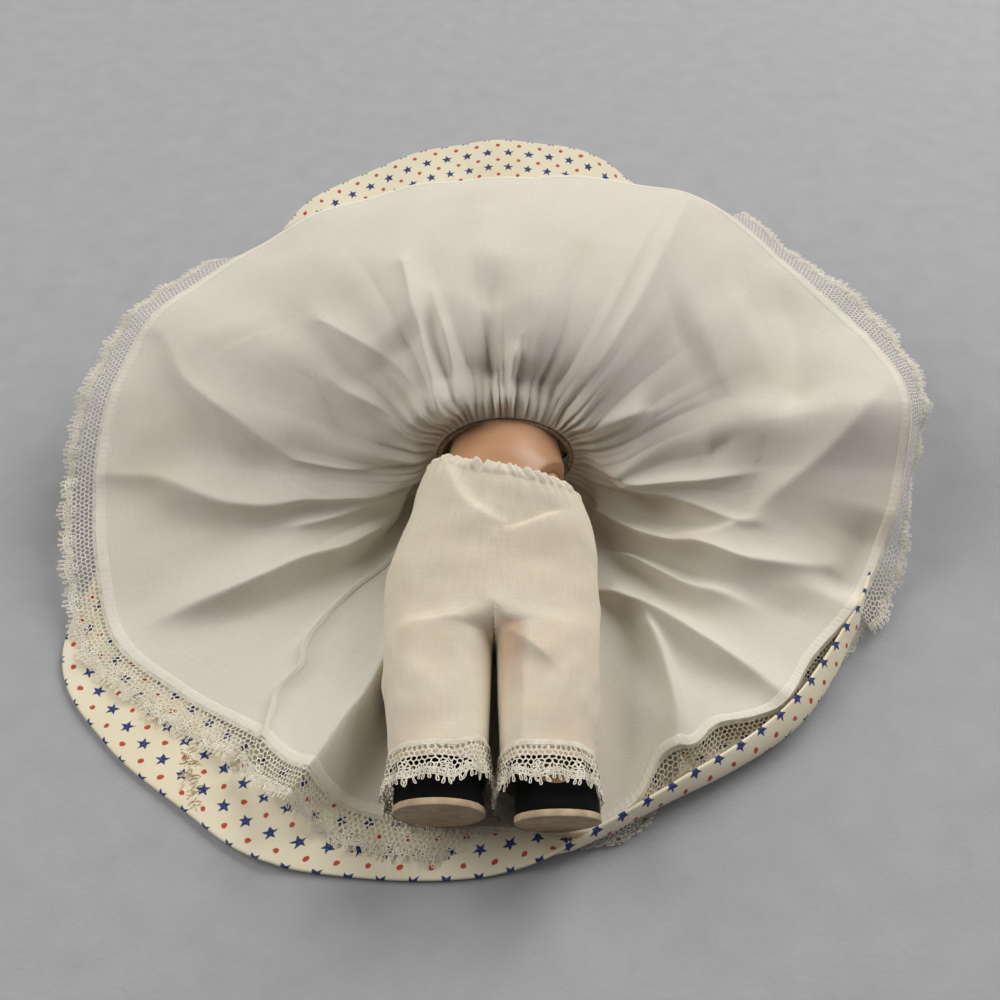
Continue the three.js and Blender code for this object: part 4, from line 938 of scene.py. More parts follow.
# How far the lace is turned down from its hem by angle: under the hem along the head side, and down
# into the gap behind the dress on the near right.
LACE_TURN = np.array((
    (0, 35), (8, 14), (18, 0), (48, 0), (57, 172), (90, 172), (122, 172), (136, 30), (148, 4),
    (160, 0), (200, 0), (262, 0), (268, 20), (275, 75), (283, 70), (292, 48), (300, 52), (312, 66),
    (325, 62), (336, 50), (350, 58)), float)


def lace_turn(angle):
    rows = np.vstack((LACE_TURN, (360, LACE_TURN[0, 1])))
    return np.interp(np.mod(angle, 360), rows[:, 0], rows[:, 1])


def make_petticoat_lace():
    angle, length = hem_run()
    total = length[-1]
    near, far = np.full_like(angle, 0.9995), np.full_like(angle, 0.975)
    hem_line = layer_point(angle % 360, near, 0.0)
    out_line = unit(hem_line - layer_point(angle % 360, far, 0.0))
    side_line = layer_point((angle + 0.6) % 360, near, 0.0) - layer_point((angle - 0.6) % 360, near, 0.0)
    up_line = unit(np.cross(out_line, side_line))

    def place(flat, lift):
        along, across = np.mod(flat[..., 0], total), flat[..., 1]
        a = np.interp(along, length, angle)
        hem, out, up = (np.stack([np.interp(a, angle, line[:, k]) for k in range(3)], -1)
                        for line in (hem_line, out_line, up_line))
        turn = lace_turn(a) * RAD
        wave = 0.5 * np.sin(along / 2.6 + 1.5 * np.sin(along / 17))
        wave = wave * (np.maximum(across, 0) / LACE_WIDTH) ** 1.5
        way = out * np.cos(turn)[..., None] - up * np.sin(turn)[..., None]
        flap = up * np.cos(turn)[..., None] + out * np.sin(turn)[..., None]
        points = hem + way * (across - LACE_LAP)[..., None] + flap * (wave + lift)[..., None]
        points = points - up * (0.3 * np.sin(turn / 2))[..., None]
        points[..., 2] = np.maximum(points[..., 2], FLOOR_LAYERS - LACE_SINK)
        return points

    add_lace("petticoat_lace", total, LACE_WIDTH + LACE_PICOTS, 5, place, "torso", "petticoat_lace")


# Dress skirt

# Share of the dress where its lip begins, its height on the floor, its depth where it is shorter than
# the petticoat, and its rise beyond the petticoat's hem on the head side.
LIP_START = 0.72
DRESS_FLOOR = 0.8
DRESS_TUCK = 25
HEAD_RISE = 62

# Stretches round the dress in degrees: start, width of the easing there, end, width of it there.
LYING = (198, 12, 276, 12)
HEAD_SIDE = (58, 14, 138, 14)
LIP_SIDE = (268, 10, 346, 16)


def dress_point(angle, share):
    """Dress at a share of its length: under the petticoat, with a standing lip on the near right."""
    reach = REACH * around(HEM, 1, angle)
    end = 1 + around(DRESS_EXTRA, 1, angle) / reach
    t = end * share
    tuck = DRESS_TUCK * t * np.maximum(0, 1 - end)
    deeper = 0.9 * smooth(t / 0.15) * smooth((0.97 - t) / 0.15)
    points = layer_point(angle, t, SHEET_STEP + tuck + deeper)
    lying = between(angle, *LYING) * smooth((t - 0.6) / 0.36)
    down = np.minimum(points[..., 2], DRESS_FLOOR)
    points[..., 2] = points[..., 2] * (1 - 0.9 * lying) + 0.9 * lying * down
    points[..., 2] += between(angle, *HEAD_SIDE) * HEAD_RISE * np.maximum(0, t - 1)
    lip = between(angle, *LIP_SIDE)[..., None]

    inner = layer_point(angle, 0.93 * np.minimum(1, share / LIP_START), SHEET_STEP + deeper)
    sink = smooth((share - 0.3) / (LIP_START - 0.3))
    inner[..., 2] = inner[..., 2] * (1 - sink) + np.minimum(DRESS_FLOOR, inner[..., 2]) * sink
    floor_r, crest_r, crest_z = (around(LIP, k, angle) for k in (1, 2, 3))
    u = np.clip((share - LIP_START) / (1 - LIP_START), 0, 1)
    b0, b1, b2, b3 = (1 - u) ** 3, 3 * u * (1 - u) ** 2, 3 * u ** 2 * (1 - u), u ** 3
    radius = b0 * np.hypot(inner[..., 0], inner[..., 1]) + b1 * (floor_r - 1)
    radius = radius + b2 * (floor_r + 2.5) + b3 * crest_r
    height = b0 * DRESS_FLOOR + b1 * 0.2 + b2 * 0.36 * crest_z + b3 * crest_z
    curl = np.stack((radius * np.cos(angle * RAD), radius * np.sin(angle * RAD), height), -1)
    curl = np.where((share > LIP_START)[..., None], curl, inner)
    return points * (1 - lip) + curl * lip


def row_normals(points):
    """Upper side of a closed sheet (columns, rows, 3)."""
    side = np.roll(points, -2, 0) - np.roll(points, 2, 0)
    return unit(np.cross(np.gradient(points, axis=1), side))


def turned_hem(points, roll, rows):
    """Turns the last edge of a closed sheet back over its upper side for some rows."""
    edge, up = points[:, -1], row_normals(points)
    out = unit(edge - points[:, -3])
    turn = np.linspace(0, math.pi, 7)[1:]
    made = [edge + roll * (out * math.sin(w) + up[:, -1] * (1 - math.cos(w))) for w in turn]
    made += [points[:, -1 - k] + up[:, -1 - k] * 2 * roll for k in range(1, rows + 1)]
    return np.concatenate((points, np.stack(made, 1)), 1)


# Torn joint of the dress hem: its two ends from above, and its loose threads.
FRAY = np.array(((-83.2, -89.5), (-78.0, -106.0)))
FRAY_THREADS = 130
THREAD_RADIUS = 0.13


def make_fray(sheet):
    """Loose threads along the torn joint, lying on the dress."""
    rng = np.random.default_rng(61)
    share = np.linspace(0, 1, 9)[:, None]
    lines = []
    for _ in range(FRAY_THREADS):
        place = rng.uniform(0, 1)
        spot = FRAY[0] * (1 - place) + FRAY[1] * place + rng.normal(0, 0.45, 2)
        turn = rng.uniform(0, 2 * math.pi) + rng.normal(0, 0.9) * share
        flat = spot + rng.uniform(0.8, 3.4) * share * np.concatenate((np.cos(turn), np.sin(turn)), 1)
        far = ((sheet[None, :, :2] - flat[:, None]) ** 2).sum(-1)
        ground = sheet[far.argmin(1), 2]
        rise = 0.3 + rng.uniform(0.1, 1.0) * np.sin(2.6 * share[:, 0])
        lines.append(np.column_stack((flat, ground.mean() + rise)))
    points, faces = tubes(lines, THREAD_RADIUS)
    fray = add_object("dress_frayed_joint", points, faces)
    return finish_piece(fray, THREAD, "torso")


def make_dress():
    columns, half, hem_rows, hem_roll = 480, 44, 26, 0.35
    angle = full_turn(columns, 360)
    lying = np.linspace(0, LIP_START, half, endpoint=False)
    share = np.append(lying, np.linspace(LIP_START, 1, half))
    a, t = lattice(angle, share)
    sheet = dress_point(a, t)
    points = turned_hem(sheet, hem_roll, hem_rows)
    rows, edge = points.shape[1], len(share) - 1
    line = sheet[:, -10]
    u = run_length(np.vstack((line, line[:1])))
    run = np.cumsum(np.linalg.norm(np.diff(points, axis=1, prepend=points[:, :1]), axis=-1), axis=1)
    run = run[:, edge:edge + 1] - run
    v = np.concatenate((run, run[:1]), 0)
    uv = np.stack((np.repeat(u[:, None], rows, 1), v), -1)
    dress = add_grid("dress", points, uv, closed=True)
    thicken(dress, 0.3)
    finish_piece(dress, PRINT, "torso", ["dress_skirt"])
    fray = make_fray(sheet[:, half:].reshape(-1, 3))


# Pantalettes

def keyed(y, keys):
    """Smooth value along a list of (y, value), y growing."""
    ys, values = np.array(keys, float).T
    line = smooth_line(np.stack((ys, values), -1), 12)
    return np.interp(y, line[:, 0], line[:, 1])


# Heights along the body of the casing, cuffs and seat front, and where the two halves part. The legs
# lie a little to one side.
PANTS_TOP = -23.6
CUFF_TOP = -104.5
SEAT_END = -33.8
PANTS_PART = -44
LEG_SHIFT = -3.0

# Cloth round one leg, and roundness of its outline across and in depth.
LEG_CLOTH = 84.0
PANTS_ROUND_X = 0.88
PANTS_ROUND_Z = 0.84

# How near to the middle between the legs a point counts as on it, and the least height of a face of
# the inner wall.
ON_MIDDLE = 1e-6
WALL_RISE = 1e-4

# Outline of a half by y: its outer side, more of it on the right, its inner side, half its depth and
# its middle height.
PANTS_OUTER = (
    (-112, 23.4), (-102, 24.0), (-92, 25.8), (-80, 26.9), (-66, 27.7), (-52, 28.3), (-44, 28.2),
    (-38, 27.4), (-33, 26.4), (-29, 24.6), (-26, 22.2), (-23.6, 20.2), (-18, 19.6))
PANTS_RIGHT = ((-112, 1.2), (-58, 1.2), (-48, 0.2), (-38, -2.6), (-30, -2.6), (-24, -1.2), (-16, -1))
PANTS_INNER = (
    (-112, 1.9), (-97, 1.3), (-86, 0.9), (-76, 0.6), (-71.5, 0.2), (-70, -2.5), (-68, -9), (-65, -17),
    (-56, -21), (-48, -24), (-36, -24), (-26, -23), (-16, -20))
PANTS_DEEP = (
    (-112, 12.1), (-92, 12.6), (-75, 13), (-60, 13.6), (-48, 14.6), (-36, 16.4), (-28, 17), (-16, 16.6))
PANTS_MID = (
    (-112, 16.3), (-92, 16.8), (-75, 17.2), (-60, 17.6), (-48, 18.6), (-36, 20), (-28, 21.4), (-16, 22))

# Creases of the pantalettes from above: height, widths, softness, tapers, then the crest's (x, y).
PANTS_FOLDS = (
    (1.6, 2.2, 7, 0.6, 0.1, 0.1, ((-18, -19), (-14.7, -27.4), (-13, -31.9), (-9.6, -36.6),
        (-5.5, -40.2), (-0.2, -42.3))),
    (-1.6, 9, 2.2, 1.0, 0.1, 0.2, ((-13, -20), (-11, -28), (-8, -34), (-3, -38))),
    (-1.5, 3.5, 0.8, 0.4, 0.1, 0.25, ((1.2, -42.9), (6.5, -40.4), (10.6, -38.3), (15.3, -35.7))),
    (0.9, 2, 6, 0.5, 0.1, 0.3, ((1.2, -43.6), (6.5, -41.2), (10.6, -39.1), (15.3, -36.5))),
    (0.9, 1.2, 5, 0.5, 0.3, 0.3, ((-27, -69.2), (-19.2, -70.3), (-9, -69.2))),
    (-0.6, 4, 1.2, 0.6, 0.3, 0.3, ((-27, -68), (-22, -68.6), (-15, -68.4))),
    (2.0, 8, 1.6, 0.5, 0.05, 0.25, ((-2.6, -66), (-0.3, -71.4), (2.2, -74.0), (3.5, -75.6),
        (8.3, -80), (13.1, -84.2))),
    (1.5, 2, 5, 0.6, 0.2, 0.1, ((3.6, -78), (4.0, -91), (3.6, -104.4))),
    (-0.9, 7, 7, 2, 0.3, 0.3, ((-19, -89), (-12, -83), (-5, -77))),
    (0.7, 0.6, 2.4, 0.3, 0.1, 0.2, ((1.6, -22), (1.2, -32), (0.6, -43))),
)


def pants_middle(y):
    """Sideways place of the middle between the legs."""
    return LEG_SHIFT * smooth(-y / 48)


def pants_point(turn, y, side):
    """Point of one half of the pantalettes: turn is 0 at the outer side and 90 degrees in front."""
    wide = (side < 0) * keyed(y, PANTS_RIGHT) + keyed(y, PANTS_OUTER)
    inner, deep, mid = (keyed(y, keys) for keys in (PANTS_INNER, PANTS_DEEP, PANTS_MID))
    centre, half = 0.5 * (wide + inner), 0.5 * (wide - inner)
    c, s = np.cos(turn), np.sin(turn)
    c, s = np.sign(c) * np.abs(c) ** PANTS_ROUND_X, np.sign(s) * np.abs(s) ** PANTS_ROUND_Z
    meets = np.clip(centre / half, 0, 1)
    edge = np.maximum((1 - meets ** (2 / PANTS_ROUND_X)) ** (PANTS_ROUND_Z / 2), 1e-6)
    wall = np.clip(1.08 * s / edge, -1, 1)
    s = np.where(c < -meets, wall * edge, s)
    seed = 11 if side > 0 else 23
    flat = np.stack((14 * turn, y), -1).reshape(-1, 2)
    swell = 0.3 * soft_noise(flat, 22, seed) + 0.12 * soft_noise(flat, 8, seed + 1)
    swell = swell.reshape(np.shape(y))
    gather = ripple(np.degrees(turn), 40, 12, seed) * smooth((y + 38) / 14) ** 2
    swell = swell * smooth((PANTS_TOP - 3 - y) / 10) + 0.9 * gather
    swell = swell * smooth((centre + half * c) / 5)
    x = centre + (half + swell) * c
    z = mid + (deep + swell) * s
    x = side * np.where(c < -meets, 0.3 * (1 - wall ** 2), np.maximum(x, 0)) + pants_middle(y)
    slant = (0.267 * x - 0.0125 * np.minimum(x ** 2, 400)) * smooth((y + 58) / 34)
    y = y - slant
    places = np.stack((x, y), -1).reshape(-1, 2)
    crease = np.zeros(len(places))
    for *form, line in PANTS_FOLDS:
        crease += ridge(places, smooth_line(line), *form)
    z = z + crease.reshape(np.shape(y)) * smooth(2.5 * s)
    return np.stack((x, y, z), -1)


def half_tube(name, points, uv, side, middle):
    """One half of the pantalettes from an array (around, rows, 3).

    Where it meets the middle it has an inner wall, which is kept only below the place where the two
    halves part.
    """
    columns, rows = points.shape[:2]
    faces, column, row = grid(columns, rows, True)
    flat = points.reshape(-1, 3)
    at_seam = np.abs(points[..., 0] - middle) < ON_MIDDLE
    order = np.arange(columns)[:, None]
    first, last = at_seam.argmax(0), columns - 1 - at_seam[::-1].argmax(0)
    inside = (at_seam.any(0) & (order >= first) & (order <= last)).ravel()
    corners = flat[faces]
    wall = (np.ptp(corners[..., 2], axis=1) > WALL_RISE) & (corners[..., 1].mean(1) < PANTS_PART)
    keep = ~inside[faces].all(1) | wall
    faces, corner_uv = faces[keep], uv[column, row][keep]
    if side > 0:
        faces, corner_uv = faces[:, ::-1], corner_uv[:, ::-1]
    return add_object(name, flat, faces, corner_uv)


def make_casing(side, name):
    """Gathered band with the elastic at the top of the pantalettes."""
    columns = 420
    turn = full_turn(columns)
    share = np.linspace(0, 1, 13)
    a, v = lattice(turn, share)
    drop, wide = 4.4, 4.8
    y = PANTS_TOP - drop + wide * v
    pucker = ripple(np.degrees(a), 78, 26, 71 + side) + 0.8 * ripple(np.degrees(a), 37, 14, 75 + side)
    bulge = 0.3 * smooth(4 * v) + 0.3 * np.sin(math.pi * v) + 0.26 * pucker * smooth(3 * v)
    bulge = bulge - 0.9 * smooth(8 * v - 7)
    points = pants_point(a, y, side)
    middle = pants_middle(y)
    inside = np.abs(points[..., 0] - middle) < ON_MIDDLE
    points[..., 0] += np.where(inside, 0, side * np.cos(a) * bulge)
    points[..., 2] += np.sin(a) * bulge
    points[..., 1] += 0.16 * pucker * v ** 2
    uv = uv_map(np.linspace(0, LEG_CLOTH, columns + 1), 3.7 * share)
    casing = half_tube(f"{name}_casing", points, uv, side, middle)
    return finish_piece(casing, CASING, "torso")


def make_seat():
    """Front of the seat, close to the body and under the two halves."""
    turn = np.linspace(35, 145, 90) * RAD
    a, b = lattice(turn, np.linspace(SEAT_END, PANTS_TOP - 1, 50))
    flat = np.stack((16 * a, b), -1)
    swell = 0.6 + 0.15 * soft_noise(flat.reshape(-1, 2), 5, 51).reshape(a.shape)
    seat = add_grid("pantalettes_seat_front", torso_point(a, b, swell), flat, flip=True)
    return finish_piece(seat, ORGANDY, "torso")


def make_pantalettes():
    columns, rows = 220, 190
    for side, name in SIDES:
        turn = full_turn(columns)
        y = np.linspace(CUFF_TOP - 2.5, PANTS_TOP - 2, rows)
        a, b = lattice(turn, y)
        uv = uv_map(np.linspace(0, LEG_CLOTH, columns + 1), y)
        half = half_tube(f"{name}_pantalette", pants_point(a, b, side), uv, side, pants_middle(b))
        half.data.materials.append(ORGANDY)
        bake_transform(half)
        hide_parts(f"{name}_pantalette_leg")
        if side > 0:
            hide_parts("pantalettes_seat", "pantalettes_elastic")
        trim = [make_casing(side, name)]
        if side > 0:
            trim.append(make_seat())


def make_cuffs():
    for side, name in SIDES:
        def place(flat, lift):
            along, across = flat[..., 0], flat[..., 1]
            turn = 2 * math.pi * along / LEG_CLOTH
            drop = across / LACE_WIDTH
            edge = pants_point(turn, np.full_like(turn, CUFF_TOP), side)
            wave = 0.55 * np.sin(13 * turn + 2 * np.sin(2 * turn)) * (0.3 + 0.7 * drop)
            wave = wave + 0.9 * drop + lift + 0.6
            inner_rise = 3.2 * smooth(-np.cos(turn) * 1.6 - 0.4) * (side < 0)
            y = edge[..., 1] + 1.2 - across + inner_rise
            x = edge[..., 0] + side * np.cos(turn) * wave
            z = edge[..., 2] + np.sin(turn) * wave - 0.6 * drop * np.maximum(0, np.sin(turn))
            return np.stack((x, y, z), -1)

        add_lace(f"{name}_cuff", LEG_CLOTH, CUFF_WIDTH, 40 + side, place, f"{name}_leg",
                 f"{name}_cuff_lace")


# Legs and shoes

# Oval rows of a leg: y, x from the middle between the legs, z, half width, half depth.
LEG_ROWS = np.array((
    (-114.2, LEG_X, 14.6, 6.6, 7.6), (-110, LEG_X, 14.4, 7.2, 8.6), (-106, LEG_X, 13.4, 7.0, 7.8),
    (-102, LEG_X, 13.0, 6.9, 7.2), (-97.9, LEG_X, 12.8, 6.7, 6.7), (-87.9, LEG_X, 13.3, 7.55, 7.55),
    (-77.9, 14.2, 14.2, 8.4, 8.4), (-65.7, 13.9, 15.3, 8.15, 8.4), (-53.5, 13.5, 16.8, 9.3, 9.3),
    (-40.1, 13.1, 19.0, 9.2, 10.2), (-30, 12.3, 21.0, 8.6, 10.4), (-22, 10.8, BODY_Z, 7.4, 9.2),
    (-16, 9.0, BODY_Z, 6.4, 7.4), (-12.5, 8.4, BODY_Z, 4.0, 4.6)))

# Plane in which the left leg meets the body: a point (x, y), its tilt, and its way towards the leg.
HIP_PLANE = np.array((9.5, -24.0))
HIP_TILT = 35 * RAD
HIP_WAY = np.array((math.cos(HIP_TILT), -math.sin(HIP_TILT)))


def oval_rows(rows, count):
    """Smooth rows between the given ones."""
    line = smooth_line(rows, 10)
    pick = np.linspace(0, len(line) - 1, count)
    return np.stack([np.interp(pick, np.arange(len(line)), line[:, k]) for k in range(line.shape[1])], -1)


def add_tube(name, points, caps=True):
    """Tube from an array (rows, around, 3), with its ends filled or open."""
    rows, count = points.shape[:2]
    index = np.arange(rows * count).reshape(rows, count)
    a, b = index[:-1], index[1:]
    faces = np.stack((a, np.roll(a, -1, 1), np.roll(b, -1, 1), b), -1).reshape(-1, 4).tolist()
    if caps:
        faces.append(index[0][::-1].tolist())
        faces.append(index[-1].tolist())
    obj = add_object(name, points.reshape(-1, 3), faces)
    obj.data.set_sharp_from_angle(angle=SHARP)
    return obj


def make_legs():
    for side, name in SIDES:
        rows = oval_rows(LEG_ROWS, 90)
        turn = full_turn(56)
        y = np.repeat(rows[:, :1], len(turn), 1)
        x = rows[:, 1:2] + rows[:, 3:4] * np.cos(turn)
        z = rows[:, 2:3] + rows[:, 4:5] * np.sin(turn)
        depth = (x - HIP_PLANE[0]) * HIP_WAY[0] + (y - HIP_PLANE[1]) * HIP_WAY[1] - 0.2
        short = np.minimum(depth, 0)
        x, y = x - short * HIP_WAY[0], y - short * HIP_WAY[1]
        shift = LEG_SHIFT * smooth((-y - 34) / 30)
        points = np.stack((side * x + shift, y, z), -1)
        if side < 0:
            points = points[:, ::-1]
        leg = add_tube(f"{name}_strung_leg", points)
        finish_piece(leg, PLASTIC, f"{name}_leg", [f"{name}_leg"])


# Shoes: sole middle (x, y, z), half width, half height, lean of the toes, turn of the toes outwards.
SHOES = {
    "right": (-15.6, -114.4, 15.6, 10.4, 12.0, 13.6, -11.0),
    "left": (11.8, -116.2, 15.2, 9.8, 11.8, 16.7, 7.0)}
SHOE_LENGTH = 19.0

# Rows of the upper: share of the way back from the sole, growth of its outline.
UPPER_ROWS = (
    (0.0, -0.9), (0.01, -0.2), (0.05, 0.1), (0.2, 0.05), (0.4, -0.35), (0.6, -1.1), (0.8, -2.0),
    (1.0, -2.5), (1.0, -3.2), (0.85, -3.3))

# Rows of the sole: way back from its middle, growth of its outline.
SOLE_ROWS = (
    (0.35, -1.5), (0.3, 0.15), (0.0, 0.3), (-1.0, 0.34), (-1.35, 0.2), (-1.5, -0.3), (-1.52, -4))


def make_shoes():
    turn = full_turn(72)
    for name, (mid_x, mid_y, mid_z, rx, rz, lean, out) in SHOES.items():
        side = 1 if name == "left" else -1
        ca, sa = math.cos(out * RAD), math.sin(out * RAD)
        tilt = math.tan(lean * RAD)

        def oval(wide, deep):
            """Outline of the sole, a little wider at the toe, turned outwards."""
            u = wide * np.cos(turn) * (1 + 0.06 * np.sin(turn))
            w = deep * np.sin(turn)
            return u * ca + w * sa, -u * sa + w * ca

        rows = []
        for share, grow in UPPER_ROWS:
            u, w = oval(rx + grow, rz + grow * 1.35)
            back = SHOE_LENGTH * share
            toe = 1 - 0.5 * smooth(share * 1.1) * np.clip(w / rz, 0, 1) ** 2
            x = mid_x + u + (side * LEG_X + LEG_SHIFT - mid_x) * share
            z = mid_z + w * toe - 2.4 * share
            y = mid_y - tilt * w + back
            rows.append(np.stack((x, y, z), -1))
        upper = add_tube(f"{name}_shoe", np.array(rows), caps=False)
        finish_piece(upper, VELVET, f"{name}_leg", [f"{name}_shoe_upper"])

        rng = np.random.default_rng(3 + side)
        fray = np.interp(turn, np.linspace(0, 2 * math.pi, 73), np.append(rng.normal(0, 0.06, 72), 0))
        rows = []
        for back, grow in SOLE_ROWS:
            u, w = oval(rx + grow + fray, rz + grow + fray)
            rows.append(np.stack((mid_x + u, mid_y - tilt * w + back, mid_z + w), -1))
        sole = add_tube(f"{name}_sole", np.array(rows)[::-1])
        finish_piece(sole, CARD, f"{name}_leg", [f"{name}_shoe_sole"])


# Body and bodice

# Oval rows of the torso: y, half width, half depth.
TORSO_ROWS = (
    (-34, 5.1, 7.2), (-29.2, 14.6, 13.1), (-21.1, 18.4, 16), (-12.9, 17.6, 16), (-5.4, 16.6, 15),
    (0, 16, 14), (9.9, 16.3, 14), (22.8, 17, 14.5), (30.4, 15.6, 12.5), (35.3, 12.2, 10.6), (38, 9.6, 9))

# Joint of the left shoulder, the flat sides of the body above a height, and the armholes.
SHOULDER = np.array((19.39, 26.0, BODY_Z))
FLAT_SIDE_X = 16.2
FLAT_SIDE_Y = 17.2
ARMHOLE = 8.2
ARMHOLE_X = 12
BODICE_ROUND = 16


def torso_point(turn, y, grow):
    x = (keyed(y, [(r[0], r[1]) for r in TORSO_ROWS]) + grow) * np.cos(turn)
    z = BODY_Z + (keyed(y, [(r[0], r[2]) for r in TORSO_ROWS]) + grow) * np.sin(turn)
    flat = FLAT_SIDE_X + np.maximum(0, grow)
    x = np.where(y > FLAT_SIDE_Y, np.clip(x, -flat, flat), x)
    past = np.maximum(0, (np.abs(x) - HIP_PLANE[0]) * HIP_WAY[0] + (y - HIP_PLANE[1]) * HIP_WAY[1] + 0.2)
    return np.stack((x - np.sign(x) * past * HIP_WAY[0], y - past * HIP_WAY[1], z), -1)


def make_torso():
    """Front and back halves of the body, with the moulding seam along both sides."""
    y = np.linspace(TORSO_ROWS[0][0], TORSO_ROWS[-1][0], 96)
    for name, start in (("front", 0.0), ("back", math.pi)):
        turn = start + math.pi * np.linspace(0, 1, 61)
        a, b = lattice(turn, y)
        groove = -0.3 * np.exp(-((np.minimum(a - start, start + math.pi - a)) / 0.03) ** 2)
        points = torso_point(a, b, groove)
        ends = [points[:, k:k + 1] * (0, 1, 0) + (0, 0, BODY_Z) for k in (0, len(y) - 1)]
        points = np.concatenate((ends[0], points, ends[1]), 1)
        uv = np.stack((np.repeat(15 * turn[:, None], len(y) + 2, 1), points[..., 1]), -1)
        half = add_grid(f"body_{name}", points, uv, flip=True)
        half.data.set_sharp_from_angle(angle=SHARP)
        finish_piece(half, PLASTIC, "torso", [f"torso_{name}"])


# Pieces of the bodice: name, start and end round the body in degrees, distance from the body.
BODICE = (("front", 3, 177, 1.1), ("back_right", 183, 274, 1.0), ("back_left", 266, 357, 1.6))


def make_bodice():
    y = np.linspace(6.4, 34.5, 60)
    band = make_waistband()
    for name, start, end, grow in BODICE:
        turn = np.linspace(start, end, 90) * RAD
        a, b = lattice(turn, y)
        cloth = np.stack((BODICE_ROUND * a, b), -1)
        flat = cloth.reshape(-1, 2)
        wrinkle = 0.16 * soft_noise(flat, 6, 31) + 0.22 * soft_noise(flat, 14, 33)
        gather = 0.35 * ripple(np.degrees(a), 40, 8, 35) * smooth((12 - b) / 6)
        points = torso_point(a, b, grow + wrinkle.reshape(a.shape) + gather)
        faces, column, row = grid(len(turn), len(y), False)
        middle = points.reshape(-1, 3)[faces].mean(1)
        armhole = np.hypot(middle[:, 1] - SHOULDER[1], middle[:, 2] - SHOULDER[2]) < ARMHOLE
        keep = ~(armhole & (np.abs(middle[:, 0]) > ARMHOLE_X))
        uv = cloth[column, row][keep][:, ::-1]
        piece = add_object(f"dress_bodice_{name}", points.reshape(-1, 3), faces[keep][:, ::-1], uv)
        thicken(piece, 0.3)
        finish_piece(piece, PRINT, "torso", [f"bodice_{name}"])
        f"torso_{name.split('_')[0]}"


def make_waistband():
    turn = full_turn(240)
    share = np.linspace(0, 1, 9)
    a, v = lattice(turn, share)
    swell = 0.5 * np.sin(math.pi * v) + 0.12 * ripple(np.degrees(a), 48, 10, 37)
    rx, rz = 20.9 - 3.2 * v + swell, 17.2 - 2.0 * v + swell
    points = np.stack((rx * np.cos(a), 2.6 + 4.4 * v, BODY_Z + rz * np.sin(a)), -1)
    uv = uv_map(np.linspace(0, 118, 241), 4.4 * share)
    band = add_grid("dress_band", points, uv, closed=True, flip=True)
    thicken(band, 0.4)
    return finish_piece(band, PRINT, "torso", ["dress_waistband"])


# The left sleeve: its turn outwards and down in degrees, and its radius by its way along the arm from
# the shoulder.
SLEEVE_OUT = 27
SLEEVE_DOWN = 13
SLEEVE_FORM = ((-4.6, 6.6), (-1.5, 8.6), (3, 9.6), (7.5, 9.6), (11.5, 8.4), (13.4, 7.2), (14.6, 7.4))


def make_sleeves():
    """Short puffed sleeves, gathered at the shoulder and in a narrow edge round the arm."""
    turn = full_turn(160)
    along = np.linspace(SLEEVE_FORM[0][0], SLEEVE_FORM[-1][0], 44)
    a, b = lattice(turn, along)
    radius = keyed(b, SLEEVE_FORM)
    pull = smooth((2.5 - b) / 6) + smooth((b - 8) / 5)
    radius = radius + 0.45 * ripple(np.degrees(a), 22, 6, 39) * pull + 0.3 * ripple(np.degrees(a), 9, 3, 41)
    x, y, z = radius * np.cos(a), b, radius * np.sin(a)
    c, s = math.cos(SLEEVE_OUT * RAD), math.sin(SLEEVE_OUT * RAD)
    x, y = x * c + y * s, -x * s + y * c
    c, s = math.cos(SLEEVE_DOWN * RAD), math.sin(SLEEVE_DOWN * RAD)
    y, z = y * c + z * s, -y * s + z * c
    uv = uv_map(np.linspace(0, 62, 161), along)
    for side, name in SIDES:
        points = np.stack((side * (x + SHOULDER[0]), y + SHOULDER[1], z + SHOULDER[2]), -1)
        sleeve = add_grid(f"{name}_puff_sleeve", points, uv, closed=True, flip=side > 0)
        thicken(sleeve, 0.3)
        sleeve.data.materials.append(PRINT)
        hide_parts(f"{name}_sleeve")
        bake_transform(sleeve)


# Middle of the head, its half sizes, and the lowest hair.
HEAD = np.array((0.0, 64.0, 26.5))
HEAD_SIZE = (22.5, 22.0, 22.5)
HAIR_FLOOR = 0.9


def hairline(side):
    """How far down from the crown the hair reaches, in degrees, by the angle from the face."""
    return 40 + 80 * smooth((np.abs(side) - 42) / 34)


def hair_point(side, down, lift):
    """Point over the head, by the angle from the face round the crown and the angle from the crown."""
    a, b = side * RAD, down * RAD
    radius = np.stack([size + lift for size in HEAD_SIZE], -1)
    way = np.stack((np.sin(b) * np.sin(a), np.cos(b), np.sin(b) * np.cos(a)), -1)
    points = HEAD + radius * way
    points[..., 2] = np.maximum(points[..., 2], HAIR_FLOOR)
    return points


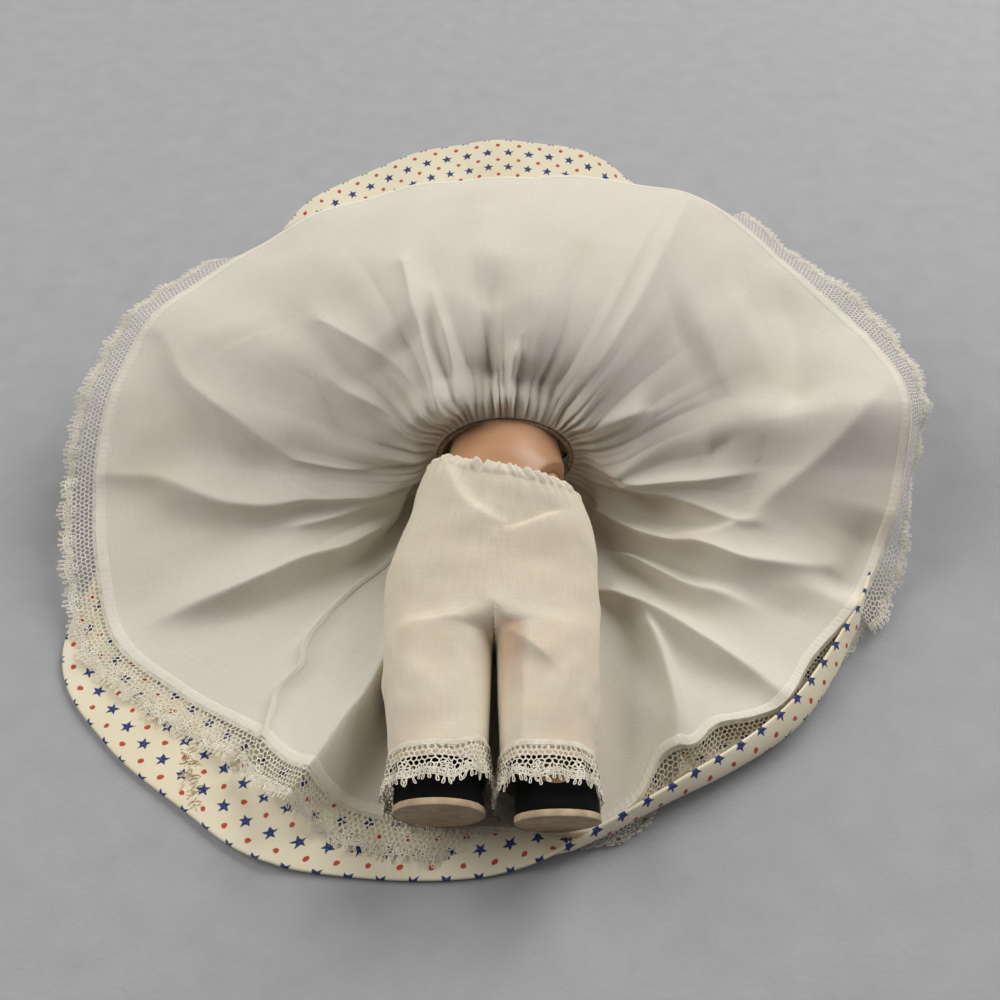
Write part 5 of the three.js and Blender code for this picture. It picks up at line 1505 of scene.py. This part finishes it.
def make_wig():
    """Short waved hair: a cap with locks that run down from the crown."""
    side = np.linspace(-180, 180, 121)[:-1]
    share = np.linspace(0.0, 1.0, 40)
    a, v = lattice(side, share)
    uv = uv_map(np.linspace(0, 140, 121), 60 * share)
    cap = add_grid("wig_cap", hair_point(a, 2 + v * (hairline(a) - 2), 1.4 - 0.9 * v ** 6), uv, closed=True)
    finish_piece(cap, HAIR, "head", ["wig"])
    rng = np.random.default_rng(17)
    count, steps = 900, 26
    start = rng.uniform(-180, 180, count)[:, None]
    v = np.linspace(0, 1, steps)[None, :]
    reach = hairline(start) * rng.uniform(0.8, 1.0, (count, 1))
    wave = 3.2 * v * np.sin(9 * v + 0.16 * start + rng.normal(0, 0.3, (count, 1)))
    lift = 1.5 + rng.uniform(0, 1.0, (count, 1)) + 0.35 * np.sin(10 * v + 0.2 * start) - 1.3 * v ** 8
    lines = hair_point(start + wave, 3 + v * (reach - 3), lift)
    points, faces = tubes(lines, 0.42 * (1 - 0.7 * v ** 4))
    locks = add_object("wig_locks", points, faces)
    finish_piece(locks, HAIR, "head")


# Stage: sizes and lights in metres, the camera's place in millimetres, its tilt down in degrees and
# its lens in picture widths.
FLOOR_SIZE = 1.6
CAMERA_PLACE = (-1.51, -224.85, 246.86)
CAMERA_DOWN = 48
SENSOR = 36
LENS = 1.05
LIGHT_TARGET = (0, 0, 0.02)
LIGHT_SIZE = 1.3
WARM, COOL = (1.0, 0.985, 0.95), (0.97, 0.98, 1.0)

# Lights: name, place, power, colour.
LIGHTS = (
    ("key", (1.0, 1.05, 1.2), 26.5, WARM),
    ("side", (-1.3, 0.15, 1.05), 18.0, WARM),
    ("fill", (1.3, 0.1, 1.0), 6.5, COOL))


def make_floor():
    corners = np.array(((-1, -1, 0), (1, -1, 0), (1, 1, 0), (-1, 1, 0)))
    floor = add_object("floor", FLOOR_SIZE * corners * 1000, [(0, 1, 2, 3)])
    n = Nodes("pale_floor", Roughness=0.9)
    n.colour(n.mix(n.noise(n.place(), 90.0, 4.0), rgb(160, 160, 164), rgb(178, 178, 181)))
    n.bump(n.noise(n.place(), 700.0, 3.0), 0.15, 0.001)
    floor.data.materials.append(n.material)


def make_camera():
    camera = link(bpy.data.objects.new("camera", bpy.data.cameras.new("camera")))
    camera.data.sensor_fit = "HORIZONTAL"
    camera.data.sensor_width = SENSOR
    camera.data.lens = SENSOR * LENS
    camera.data.clip_start = 0.01
    camera.location = metres(CAMERA_PLACE)
    camera.rotation_euler = (RAD * (90 - CAMERA_DOWN), 0, 0)
    bpy.context.scene.camera = camera


def make_lights():
    for name, place, power, colour in LIGHTS:
        light = link(bpy.data.objects.new(name, bpy.data.lights.new(name, "AREA")))
        light.data.size = LIGHT_SIZE
        light.data.energy = power
        light.data.color = colour
        light.location = place
        x, y, z = np.subtract(LIGHT_TARGET, place)
        light.rotation_euler = (math.atan2(math.hypot(x, y), -z), 0, math.atan2(x, -y) + math.pi)
    world = bpy.data.worlds.new("studio")
    world.use_nodes = True
    background = world.node_tree.nodes["Background"]
    background.inputs["Color"].default_value = (0.95, 0.96, 1.0, 1)
    background.inputs["Strength"].default_value = 0.06
    bpy.context.scene.world = world
    bpy.context.scene.view_settings.view_transform = "Standard"


make_petticoat()
make_cord()
make_petticoat_lace()
make_dress()
make_pantalettes()
make_cuffs()
make_legs()
make_shoes()
make_torso()
make_bodice()
make_sleeves()
make_wig()
make_floor()
make_camera()
make_lights()
